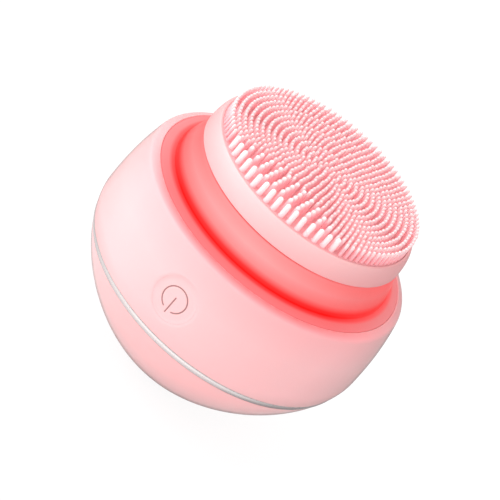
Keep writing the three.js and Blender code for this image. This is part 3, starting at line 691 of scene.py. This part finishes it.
def lit_neck_plastic():
    """From the neck's foot up: deep red, then pink-red."""
    body = [
        (0, (0.58, 0.008, 0.008)), (0.1, (0.58, 0.02, 0.02)), (0.3, (0.56, 0.15, 0.15)),
        (0.6, (0.56, 0.21, 0.21)), (0.88, (0.55, 0.17, 0.17)), (1, (0.53, 0.17, 0.17)),
    ]
    glow = [
        (0, (0.55, 0.005, 0.004)), (0.1, (0.5, 0.018, 0.017)), (0.3, (0.44, 0.10, 0.10)),
        (0.6, (0.42, 0.135, 0.135)), (0.88, (0.46, 0.125, 0.125)), (1, (0.48, 0.14, 0.14)),
    ]
    haze = [(0, (0, 0.06, 0.06)), (0.15, (0, 0, 0))]
    return lit_plastic("lit_neck", NECK_FOOT_Z, NECK_HIGH.z, body, glow, haze,
                       side_start=0.03, side_power=0.7)


def fine_bristle_rubber():
    return soft_bristle("fine_bristle", (0.83, 0.36, 0.39), (0.85, 0.44, 0.47), (0.90, 0.63, 0.64),
                        heights=(0.5, 0.8))


def firm_bristle_rubber():
    return soft_bristle("firm_bristle", (0.88, 0.39, 0.42), (0.89, 0.46, 0.49), (0.94, 0.79, 0.79),
                        rim=[(0.90, 0.54, 0.56), (0.92, 0.69, 0.70)])


# ---- Materials of the inside ----

METALS = {"brushed_steel", "brass", "cast_iron", "chrome"}


def inner_material(slot):
    """A procedural finish for a CAD node that stays, from its slot in the record."""
    base = tuple(slot["base_color"][:3])
    metal = slot["class"] in METALS
    material, tree, shader, place = start_material("inner_" + slot["slot"])
    cloudy = varied(tree, place, 6, 0, 1)
    tone = mix_colour(tree, cloudy, scaled(base, 0.95), scaled(base, 1.03))
    grain = brushed_noise(tree, place, 0.8, 14) if metal else noise(tree, place, 0.3, 4)
    speckle = remap(tree, grain, 0.35, 0.65, 0, 0.12)
    rough = 0.34 if metal else 0.5
    if slot["class"] == "rubber":
        rough = 0.75
    connect(tree, shader, {
        "Base Color": mix_colour(tree, speckle, tone, scaled(base, 0.7)),
        "Roughness": varied(tree, place, 2, rough - 0.08, rough + 0.08, 5),
        "Metallic": 1 if metal else 0,
    })
    add_bump(tree, shader, grain, 0.15, 0.02)
    return material


def dress_cad_nodes():
    made = {slot["slot"]: inner_material(slot) for slot in frame["record"]["materials"]}
    for node, slot in SLOTS.items():
        materials = frame["nodes"][node].data.materials
        materials.clear()
        materials.append(made[slot])


# ---- Upper shell with its button hole ----

# Its grid's columns; the window left open round the button: cells across, half its width
COLUMNS = 360
WINDOW = 24
WINDOW_HALF = 8.1


def smooth_step(value, low, high):
    t = min(1.0, max(0.0, (value - low) / (high - low)))
    return t * t * (3 - 2 * t)


def dish_depth(distance):
    """How far the surface is sunk at a distance from the button's centre."""
    rim = 1 - smooth_step(distance, DISH_INNER, DISH_OUTER)
    bowl = DISH_BOWL * max(0.0, 1 - (distance / DISH_INNER) ** 2)
    return DISH_DEPTH * rim + bowl


def front_point(across, up, depth, inset=0.0):
    """A point near the button: across and up on the surface, sunk by depth."""
    z = BUTTON_Z + up
    step = 2 * math.pi / COLUMNS
    angle = FRONT + across * (WINDOW / 2 * step / WINDOW_HALF)
    radius = body_radius(z, inset) - depth
    return (radius * math.cos(angle), radius * math.sin(angle), z)


def window_loop():
    """(column, row) pairs round the square window, anticlockwise as seen from the front."""
    loop = [(i, 0) for i in range(WINDOW)]
    loop += [(WINDOW, i) for i in range(WINDOW)]
    loop += [(WINDOW - i, WINDOW) for i in range(WINDOW)]
    loop += [(0, WINDOW - i) for i in range(WINDOW)]
    return loop


def shell_profile():
    """The shell's closed profile, and where its outer and inner window rows start."""
    window_low = BUTTON_Z - WINDOW_HALF
    window_high = BUTTON_Z + WINDOW_HALF
    low_edge = TRIM_HIGH.z + 0.06
    corner = rounded([
        (SPIGOT_OUTER, SHELL_LOW.z),
        (SPIGOT_OUTER, low_edge, 0.1),
        (body_radius(low_edge), low_edge, 0.2),
        (body_radius(low_edge + 2), low_edge + 2),
    ], steps=4)[:-1]
    below = outline(low_edge + 0.5, window_low, 4)[:-1]
    window = outline(window_low, window_high, WINDOW)
    crease_start = CREASE_Z - 1.1
    ledge_low = LEDGE_Z - LEDGE_THICKNESS
    above = outline(window_high, crease_start, 5)[1:-1]
    shoulder = rounded([
        (body_radius(crease_start), crease_start),
        (body_radius(CREASE_Z), CREASE_Z, 1.3),
        (LIP_RADIUS, SHELL_HIGH.z, 0.3),
        (LIP_RADIUS, LEDGE_Z, 0.1),
        (LEDGE_INNER, LEDGE_Z, 0.2),
        (LEDGE_INNER, ledge_low, 0.2),
        (body_radius(ledge_low, WALL), ledge_low),
    ], steps=6)
    inner_above = outline(ledge_low, window_high, 2, WALL)[1:-1]
    inner_window = outline(window_high, window_low, WINDOW, WALL)
    inner_low = TRIM_HIGH.z + 1.8
    tail = [
        (body_radius(inner_low, WALL), inner_low),
        (SPIGOT_INNER, inner_low),
        (SPIGOT_INNER, SHELL_LOW.z),
    ]
    profile = corner + below
    outer_start = len(profile)
    profile += window + above + shoulder + inner_above
    inner_start = len(profile)
    profile += inner_window + tail
    return profile, outer_start, inner_start


def shell_vertices(profile):
    """The grid's vertices: each profile point turned round, from the window's left side on."""
    step = 2 * math.pi / COLUMNS
    vertices = []
    for radius, z in profile:
        for column in range(COLUMNS):
            angle = FRONT + (column - WINDOW // 2) * step
            vertices.append((radius * math.cos(angle), radius * math.sin(angle), z))
    return vertices


def shell_faces(index, rows, window_starts):
    """The grid's faces, left out in the window outside and inside."""
    faces = []
    for row in range(rows):
        in_window = any(start <= row < start + WINDOW for start in window_starts)
        for column in range(WINDOW if in_window else 0, COLUMNS):
            faces.append([index(column, row), index(column + 1, row),
                          index(column + 1, row + 1), index(column, row + 1)])
    return faces


def window_rings(vertices, edge, inset, sunk):
    """Adds rings of vertices from the window's edge to the hole, and gives all rows of indices."""
    rings = 16
    crowding = 1.7
    cell = 2 * WINDOW_HALF / WINDOW
    rows = [edge]
    for ring in range(1, rings + 1):
        made = []
        for column, row in window_loop():
            flat = Vector((column * cell - WINDOW_HALF, row * cell - WINDOW_HALF))
            reach = HOLE_RADIUS + (flat.length - HOLE_RADIUS) * (1 - ring / rings) ** crowding
            across, up = flat.normalized() * reach
            made.append(len(vertices))
            depth = dish_depth(reach) if sunk else 0
            vertices.append(front_point(across, up, depth, inset))
        rows.append(made)
    return rows


def build_upper_shell(material):
    profile, outer_start, inner_start = shell_profile()

    def index(column, row):
        return (row % len(profile)) * COLUMNS + column % COLUMNS

    vertices = shell_vertices(profile)
    faces = shell_faces(index, len(profile), (outer_start, inner_start))
    outer_edge = [index(column, outer_start + row) for column, row in window_loop()]
    inner_edge = [index(column, inner_start + WINDOW - row) for column, row in window_loop()]
    outer = window_rings(vertices, outer_edge, 0, True)
    inner = window_rings(vertices, inner_edge, WALL, False)
    faces += bridge(outer + inner[::-1])
    piece = make_object("upper_shell_skin", vertices, faces, material, smooth_angle=50)
    finish_piece(piece, "handle", "upper_shell")


# ---- Button cap ----

BUTTON_SIDES = 216


def groove_depth(across, up):
    """0 off the power sign, 1 along the middle of its line."""
    distance = math.hypot(across, up)
    from_gap = abs(math.remainder(math.atan2(up, across) + math.pi / 2, 2 * math.pi))
    off_ring = abs(distance - SIGN_RADIUS)
    if from_gap < SIGN_GAP / 2:
        edge = Vector((math.sin(SIGN_GAP / 2), -math.cos(SIGN_GAP / 2))) * SIGN_RADIUS
        off_ring = (Vector((abs(across), up)) - edge).length
    low, high = SIGN_BAR
    off_bar = math.hypot(across, up - min(high, max(low, up)))
    off = min(off_ring, off_bar)
    return 1 - smooth_step(off, SIGN_WIDTH * 0.25, SIGN_WIDTH * 0.62)


def cap_point(across, up, sunk):
    """A point of the cap's face, sunk further than the dish."""
    return front_point(across, up, dish_depth(math.hypot(across, up)) + sunk)


def circle(radius):
    """(across, up) pairs round the button."""
    turns = [2 * math.pi * side / BUTTON_SIDES for side in range(BUTTON_SIDES)]
    return [(radius * math.cos(turn), radius * math.sin(turn)) for turn in turns]


def button_rows():
    """Rows of (point, groove share) from the middle of the face to the stem's end."""
    face_rings = 60
    edge_steps = 4
    fillet = 0.05
    flat_radius = CAP_RADIUS - fillet
    flange_back_y = FLANGE_FRONT_Y + FLANGE_THICKNESS
    rows = []
    for ring in range(1, face_rings + 1):
        spots = circle(flat_radius * ring / face_rings)
        marks = [groove_depth(*spot) for spot in spots]
        points = [cap_point(*spot, SIGN_DEPTH * mark) for spot, mark in zip(spots, marks)]
        rows.append(list(zip(points, marks)))
    for step in range(1, edge_steps + 1):
        turn = math.pi / 2 * step / edge_steps
        spots = circle(flat_radius + fillet * math.sin(turn))
        rows.append([(cap_point(*spot, fillet * (1 - math.cos(turn))), 0) for spot in spots])
    behind = [
        (CAP_RADIUS, FLANGE_FRONT_Y),
        (FLANGE_RADIUS, FLANGE_FRONT_Y),
        (FLANGE_RADIUS, flange_back_y),
        (STEM_RADIUS, flange_back_y),
        (STEM_RADIUS, BUTTON_HIGH.y),
    ]
    for radius, y in behind:
        rows.append([((across, y, BUTTON_Z + up), 0) for across, up in circle(radius)])
    return rows


def build_button(material):
    rows = button_rows()
    centre = (cap_point(0, 0, SIGN_DEPTH), 1)
    vertices, groove = zip(*[entry for row in rows for entry in row], centre)
    middle = len(vertices) - 1
    indices = [[middle] * BUTTON_SIDES]
    for row in range(len(rows)):
        indices.append([row * BUTTON_SIDES + side for side in range(BUTTON_SIDES)])
    faces = bridge(indices[::-1])
    faces.append(indices[-1])
    piece = make_object("button_cap_skin", vertices, faces, material, smooth_angle=50)
    attribute = piece.data.attributes.new("groove", "FLOAT", "POINT")
    attribute.data.foreach_set("value", groove)
    finish_piece(piece, "button", "button_cap")


# ---- Turned pieces of the handle ----

def build_lower_shell(material):
    rim = TRIM_LOW.z - 0.04
    recess_radius = FOOT_HIGH.x + 0.15
    recess_top = FOOT_HIGH.z + 0.1
    floor = recess_top + 1.1
    base = BOWL_LOW.z
    start = 0.9
    bottom = rounded([
        (0, recess_top),
        (recess_radius, recess_top, 0.1),
        (recess_radius, base, 0.2),
        (body_radius(base), base, 0.5),
        (body_radius(start), start),
    ], steps=4)[:-1]
    side = outline(start, rim - 0.6, 30, crowding=1.4)
    edge = rounded([
        (body_radius(rim - 0.6), rim - 0.6),
        (body_radius(rim), rim, 0.12),
        (body_radius(rim, WALL), rim),
    ], steps=4)[1:]
    inside = outline(rim, floor, 14, WALL, crowding=0.7)[1:]
    profile = bottom + side + edge + inside + [(0, floor)]
    turned_piece("lower_shell", profile, material, "handle")


def build_trim(material):
    """The silver ring: a crowned band, sunk a little under the ball's outline at its edges."""
    inner = 35.1
    low, high = TRIM_LOW.z, TRIM_HIGH.z
    crown = 0.12
    sunk = 0.03
    steps = 10
    face = []
    for i in range(1, steps):
        share = i / steps
        z = low + (high - low) * share
        face.append((body_radius(z) - sunk + crown * (1 - (2 * share - 1) ** 2), z))
    profile = rounded([
        (inner, low),
        (body_radius(low) - sunk, low, 0.08),
        *face,
        (body_radius(high) - sunk, high, 0.08),
        (inner, high),
    ], steps=3)
    turned_piece("trim_ring", profile, material, "handle")


def build_light_ring(material):
    inner = NECK_FOOT_RADIUS + 0.05
    outer = LIP_RADIUS - 0.04
    low = RING_LOW.z
    profile = rounded([
        (inner, low),
        (outer, low),
        (outer, RING_TOP_OUTER, 0.12),
        (inner, RING_HIGH.z, 0.05),
    ], steps=4)
    turned_piece("light_ring", profile, material, "handle")


def build_neck(material):
    wall = 1.8
    under = NECK_HIGH.z - 1.5
    seat_radius = 6.0
    corners = [
        (NECK_FOOT_RADIUS - wall, NECK_LOW.z),
        (NECK_FOOT_RADIUS, NECK_LOW.z),
        (NECK_FOOT_RADIUS, NECK_FOOT_Z, 0.4),
        (NECK_TOP_RADIUS, NECK_HIGH.z, 0.5),
        (seat_radius, NECK_HIGH.z, 0.2),
        (seat_radius, under),
        (NECK_TOP_RADIUS - wall + 0.4, under),
        (NECK_FOOT_RADIUS - wall, NECK_FOOT_Z),
    ]
    turned_piece("neck", rounded(corners, steps=6), material, "handle")


def build_seal(material):
    low, high = SEAL_LOW.z, SEAL_HIGH.z
    lip = 3.12
    profile = rounded([
        (lip, low, 0.1),
        (SEAL_HIGH.x, low, 0.1),
        (SEAL_HIGH.x, high, 0.15),
        (lip, high, 0.15),
        (lip + 0.8, (low + high) / 2, 0.2),
    ], steps=4)
    turned_piece("shaft_seal", profile, material, "handle", sides=96)


def build_foot_pad(material):
    """A filleted disc with a hole for each contact, filled from curves."""
    curve = bpy.data.curves.new("foot_pad_curve", "CURVE")
    curve.dimensions = "2D"
    curve.fill_mode = "BOTH"
    bevel = 0.15
    height = FOOT_HIGH.z - FOOT_LOW.z
    curve.extrude = (height / 2 - bevel) * MM
    curve.bevel_depth = bevel * MM
    curve.bevel_resolution = 3
    contact_x = (CONTACT_LOW.x + CONTACT_HIGH.x) / 2
    hole = 1.75 + bevel
    circles = [(0, FOOT_HIGH.x - bevel, 128), (contact_x, hole, 48), (-contact_x, hole, 48)]
    for x, radius, count in circles:
        spline = curve.splines.new("POLY")
        spline.points.add(count - 1)
        for i, point in enumerate(spline.points):
            angle = 2 * math.pi * i / count
            across = x + radius * math.cos(angle)
            point.co = (across * MM, radius * math.sin(angle) * MM, 0, 1)
        spline.use_cyclic_u = True
    holder = add_object("foot_pad_curve", curve)
    bpy.context.view_layer.update()
    evaluated = holder.evaluated_get(bpy.context.evaluated_depsgraph_get())
    mesh = bpy.data.meshes.new_from_object(evaluated)
    mesh.transform(Matrix.Translation((0, 0, (FOOT_LOW.z + height / 2) * MM)))
    bpy.data.objects.remove(holder)
    mesh.name = "foot_pad_skin"
    merge_close(mesh)
    piece = mesh_object("foot_pad_skin", mesh, material)
    weight_normals(piece)
    finish_piece(piece, "handle", "foot_pad")


def merge_close(mesh):
    made = bmesh.new()
    made.from_mesh(mesh)
    bmesh.ops.remove_doubles(made, verts=made.verts, dist=0.002 * MM)
    bmesh.ops.recalc_face_normals(made, faces=made.faces)
    made.to_mesh(mesh)
    made.free()


def build_contacts(material):
    for node in ("charge_contact_left", "charge_contact_right"):
        low, high = cad_box(node)
        middle = (low.x + high.x) / 2
        head = high.x - middle
        stem = 0.9
        neck_z = low.z + 0.85
        profile = rounded([
            (0, low.z),
            (head, low.z, 0.35),
            (head, neck_z, 0.1),
            (stem, neck_z),
            (stem, high.z, 0.2),
            (0, high.z),
        ], steps=4)
        turned_piece(node, profile, material, "handle", sides=64, across=middle)


# ---- Spindle and brush head ----

def build_spindle(material):
    """Shaft with a thrust flange, and a hexagon end with a chamfered tip."""
    radius = 3.0
    hex_low = 60.6
    corner = 2.9
    flange_low = SPINDLE_LOW.z + 2.75
    flange_top = flange_low + 0.3
    chamfer = 0.3
    corners = [
        (0, SPINDLE_LOW.z),
        (radius, SPINDLE_LOW.z),
        (radius, flange_low),
        (SPINDLE_HIGH.x, flange_low),
        (SPINDLE_HIGH.x, flange_top),
        (radius, flange_top),
        (radius, hex_low - 0.1),
        (corner, hex_low),
        (corner, SPINDLE_HIGH.z - chamfer),
        (corner - chamfer, SPINDLE_HIGH.z),
        (0, SPINDLE_HIGH.z),
    ]
    turned_piece("output_spindle", corners, material, "spindle", sides=96, hex_points=(7, 8, 9))


def build_carrier(material):
    """Rimmed plate under the pad with a hexagon socket in its hub."""
    web = 63.5
    rim = CARRIER_HIGH.x
    rim_inner = rim - 1.5
    top = CARRIER_HIGH.z
    low = CARRIER_LOW.z
    socket = 3.05
    socket_top = SPINDLE_HIGH.z + 0.15
    hub = 5.5
    edge = low + 0.3
    corners = [
        (0, socket_top),
        (socket, socket_top),
        (socket, edge),
        (socket + 0.35, low),
        (hub - 0.3, low),
        (hub, edge),
        (hub, web - 0.4),
        (hub + 0.4, web),
        (rim_inner, web),
        (rim_inner, edge),
        (rim, edge),
        (rim, top),
        (0, top),
    ]
    turned_piece("head_carrier", corners, material, "brush_head", sides=192, hex_points=(1, 2, 3))


def build_collar(material):
    """The pale collar: its side leans in toward the bristle disc, on an elliptic curve."""
    low = COLLAR_LOW.z
    top = COLLAR_HIGH.z
    wide = COLLAR_HIGH.x
    narrow = PAD_HIGH.x + 0.04
    shelf = 26.0
    shelf_z = PAD_LOW.z - 0.05
    span = 5.8
    steps = 24
    side_low = low + 0.15
    side_high = top - 0.12
    side = []
    for i in range(1, steps + 1):
        z = side_low + (side_high - side_low) * (1 - (1 - i / steps) ** 1.6)
        side.append((narrow + (wide - narrow) * math.sqrt(1 - ((z - low) / span) ** 2), z))
    foot = rounded([
        (shelf, low + 0.5),
        (shelf, low, 0.3),
        (wide, low, 0.15),
        (wide, low + 1),
    ], steps=5)[1:-1]
    rim = rounded([
        side[-1],
        (side[-1][0] - 0.07, top, 0.08),
        (narrow, top, 0.06),
        (narrow, top - 0.5),
    ], steps=4)[1:-1]
    profile = foot + side + rim + [(narrow, shelf_z), (shelf, shelf_z)]
    turned_piece("head_ring", profile, material, "brush_head")


def build_pad(material):
    profile = rounded([
        (0, PAD_LOW.z),
        (PAD_HIGH.x, PAD_LOW.z),
        (PAD_HIGH.x, PAD_HIGH.z, 0.25),
        (0, PAD_HIGH.z),
    ], steps=5)
    turned_piece("bristle_pad", profile, material, "brush_head")


# ---- Bristles ----

def bristle_profile(radius, height):
    """A soft bristle: flared root, slim shaft, domed tip. Its root is sunk in the pad."""
    sunk = 0.25
    tip = radius * 0.94
    root = radius * 1.12
    points = [(0, -sunk), (root, -sunk), (root, 0.02), (radius, 0.3), (tip, height - tip)]
    dome = 4
    for step in range(1, dome):
        turn = math.pi / 2 * step / dome
        points.append((tip * math.cos(turn), height - tip + tip * math.sin(turn)))
    points.append((0, height))
    return points


def bristle_field(name, spots, radius, sides, material, node):
    """One mesh of many bristles at (x, y, thickness share), each leaning a little differently."""
    draw = random.Random(SEED)
    height = BRISTLE_HIGH.z - PAD_HIGH.z
    shape, shape_faces = turned(bristle_profile(radius, height), sides)
    shape = np.array(shape)
    vertices, faces = [], []
    for x, y, thickness in spots:
        lean_x = draw.gauss(0, LEAN_SPREAD)
        lean_y = draw.gauss(0, LEAN_SPREAD)
        stretch = 1 - abs(draw.gauss(0, LENGTH_SPREAD))
        turn = draw.uniform(0, 2 * math.pi)
        made = shape.copy()
        made[:, 0] = thickness * (shape[:, 0] * math.cos(turn) - shape[:, 1] * math.sin(turn))
        made[:, 1] = thickness * (shape[:, 0] * math.sin(turn) + shape[:, 1] * math.cos(turn))
        rise = np.maximum(made[:, 2], 0)
        made[:, 0] += x + lean_x * rise
        made[:, 1] += y + lean_y * rise
        made[:, 2] = made[:, 2] * stretch + PAD_HIGH.z
        start = len(vertices)
        vertices.extend(made.tolist())
        faces.extend([[start + v for v in face] for face in shape_faces])
    piece = make_object(name, vertices, faces, material)
    finish_piece(piece, "brush_head", node)


def fine_spots(firm):
    """Rings of bristles round one at the centre, left out where the firm ones stand."""
    spots = [(0.0, 0.0)]
    rings = 16
    first = 0.32
    for ring in range(1, rings + 1):
        radius = first + FINE_SPACING * ring
        count = round(2 * math.pi * radius / FINE_SPACING)
        for i in range(count):
            angle = 2 * math.pi * (i + 0.5 * (ring % 2)) / count
            spots.append((radius * math.cos(angle), radius * math.sin(angle)))
    apart = FINE_RADIUS + FIRM_RADIUS + 0.1
    zone_reach = FIRM_ZONE_RADIUS + FINE_RADIUS * 0.6

    def free(x, y):
        nearest = min(math.hypot(x - firm_x, y - firm_y) for firm_x, firm_y, _ in firm)
        return nearest > apart and math.hypot(x, y - FIRM_ZONE_Y) >= zone_reach

    return [(x, y, 1) for x, y in spots if free(x, y)]


def firm_spots():
    """Columns of firm bristles that follow the zone's arc, and one row along the disc's rim."""
    spots = []
    inner_rim = 24.9
    columns = 6
    for column in range(-columns, columns + 1):
        x = column * FIRM_COLUMN
        reach = FIRM_ZONE_RADIUS - FIRM_RADIUS
        y = FIRM_ZONE_Y + math.sqrt(reach ** 2 - x ** 2)
        while math.hypot(x, y) < inner_rim:
            spots.append((x, y, FIRM_INNER_SCALE))
            y -= FIRM_ROW
    half = FIRM_RIM_HALF_ANGLE
    count = round(2 * half * FIRM_RIM / FIRM_RIM_SPACING)
    for i in range(count + 1):
        angle = FRONT - half + 2 * half * i / count
        spots.append((FIRM_RIM * math.cos(angle), FIRM_RIM * math.sin(angle), 1))
    return spots


# ---- Stage ----

# Brightness of the studio away from the key light and toward it
STUDIO_DIM = 0.27
STUDIO_BRIGHT = 1.56

# The floor's half width, its colour to the camera and the glow that lifts that to white
FLOOR_HALF = 3000
FLOOR_SEEN = (0.08, 0.08, 0.08)
FLOOR_GLOW = 0.92


def build_camera():
    right, up, back = view_axes()
    roll_up = up * math.cos(CAMERA_ROLL) - right * math.sin(CAMERA_ROLL)
    roll_right = right * math.cos(CAMERA_ROLL) + up * math.sin(CAMERA_ROLL)
    middle = Vector((0, 0, TRIM_HIGH.z))
    place = middle + back * CAMERA_DISTANCE
    aim = middle + roll_right * AIM_ACROSS + roll_up * AIM_UP
    away = (place - aim).normalized()
    across = roll_up.cross(away).normalized()
    upright = away.cross(across)
    data = bpy.data.cameras.new("camera")
    data.lens = CAMERA_LENS
    data.sensor_width = 36
    data.clip_start = 0.01
    camera = add_object("camera", data)
    turn = Matrix((across, upright, away)).transposed().to_4x4()
    camera.matrix_world = Matrix.Translation(place * MM) @ turn
    bpy.context.scene.camera = camera


def build_key_light(key_side):
    """A square soft light that looks at the brush; its size and distance are in metres."""
    distance = 0.7
    middle = Vector((0, 0, BRISTLE_HIGH.z / 2 * MM))
    data = bpy.data.lights.new("key", "AREA")
    data.size = 0.6
    data.energy = 2.4
    light = add_object("key", data)
    light.location = middle + key_side * distance
    light.rotation_euler = key_side.to_track_quat("Z", "Y").to_euler()


def build_world(key_side):
    """A pale studio, brighter on the key light's side and pinker on the other."""
    world = bpy.data.worlds.new("studio")
    world.use_nodes = True
    tree = world.node_tree
    place = add_node(tree, "ShaderNodeTexCoord").outputs["Generated"]
    along = vector_node(tree, "DOT_PRODUCT", place, key_side)
    brightness = remap(tree, along, -1, 1, STUDIO_DIM, STUDIO_BRIGHT)
    colour = ramp(tree, remap(tree, along, -1, 1, 0, 1), [(0, (1, 0.85, 0.85)), (0.75, (1, 1, 1))])
    seen = add_node(tree, "ShaderNodeLightPath").outputs["Is Camera Ray"]
    strength = add_node(tree, "ShaderNodeMix", {0: seen, 2: brightness, 3: 1.0}).outputs[0]
    connect(tree, tree.nodes["Background"], {
        "Strength": strength,
        "Color": mix_colour(tree, seen, colour, (1, 1, 1)),
    })
    bpy.context.scene.world = world


def floor_white():
    """White floor. The camera sees it nearly shadowless; the brush is lit by it as usual."""
    material, tree, shader, place = start_material("floor_white")
    seen = add_node(tree, "ShaderNodeLightPath").outputs["Is Camera Ray"]
    tone = mix_colour(tree, noise(tree, place, 300), (0.8, 0.8, 0.8), (0.82, 0.82, 0.82))
    connect(tree, shader, {
        "Base Color": mix_colour(tree, seen, tone, FLOOR_SEEN),
        "Roughness": 0.9,
        "Emission Color": (1, 1, 1, 1),
        "Emission Strength": times(tree, seen, FLOOR_GLOW),
    })
    return material


def build_stage(key_side):
    half = FLOOR_HALF
    corners = [(-half, -half, 0), (half, -half, 0), (half, half, 0), (-half, half, 0)]
    floor = make_object("floor", corners, [[0, 1, 2, 3]], floor_white())
    build_world(key_side)
    build_key_light(key_side)
    scene = bpy.context.scene
    scene.view_settings.view_transform = "Standard"
    scene.view_settings.look = "None"


# ---- Assembly ----

def build_outside(key_side):
    build_upper_shell(shell_plastic())
    build_button(button_plastic())
    build_lower_shell(bowl_plastic())
    build_trim(silver(key_side))
    build_light_ring(lit_ring_plastic())
    build_neck(lit_neck_plastic())


def build_fittings():
    """The seal, contacts, spindle and carrier take their materials from the record; the foot has its
    own rubber.
    """
    slots = {slot["slot"]: slot for slot in frame["record"]["materials"]}
    build_seal(inner_material(slots["seal_rubber"]))
    build_foot_pad(foot_rubber())
    build_contacts(inner_material(slots["gold_contact"]))
    build_spindle(inner_material(slots["steel"]))
    build_carrier(inner_material(slots["frame_plastic"]))


def build_head():
    build_collar(collar_plastic())
    build_pad(pad_plastic())
    firm = firm_spots()
    bristle_field("fine_bristle_field", fine_spots(firm), FINE_RADIUS, 12,
                  fine_bristle_rubber(), "fine_bristles")
    bristle_field("firm_bristle_field", firm, FIRM_RADIUS, 20,
                  firm_bristle_rubber(), "firm_bristles")


def main():
    key_side = key_direction()
    dress_cad_nodes()
    build_outside(key_side)
    build_fittings()
    build_head()
    build_stage(key_side)
    build_camera()


main()

bpy.context.view_layer.update()
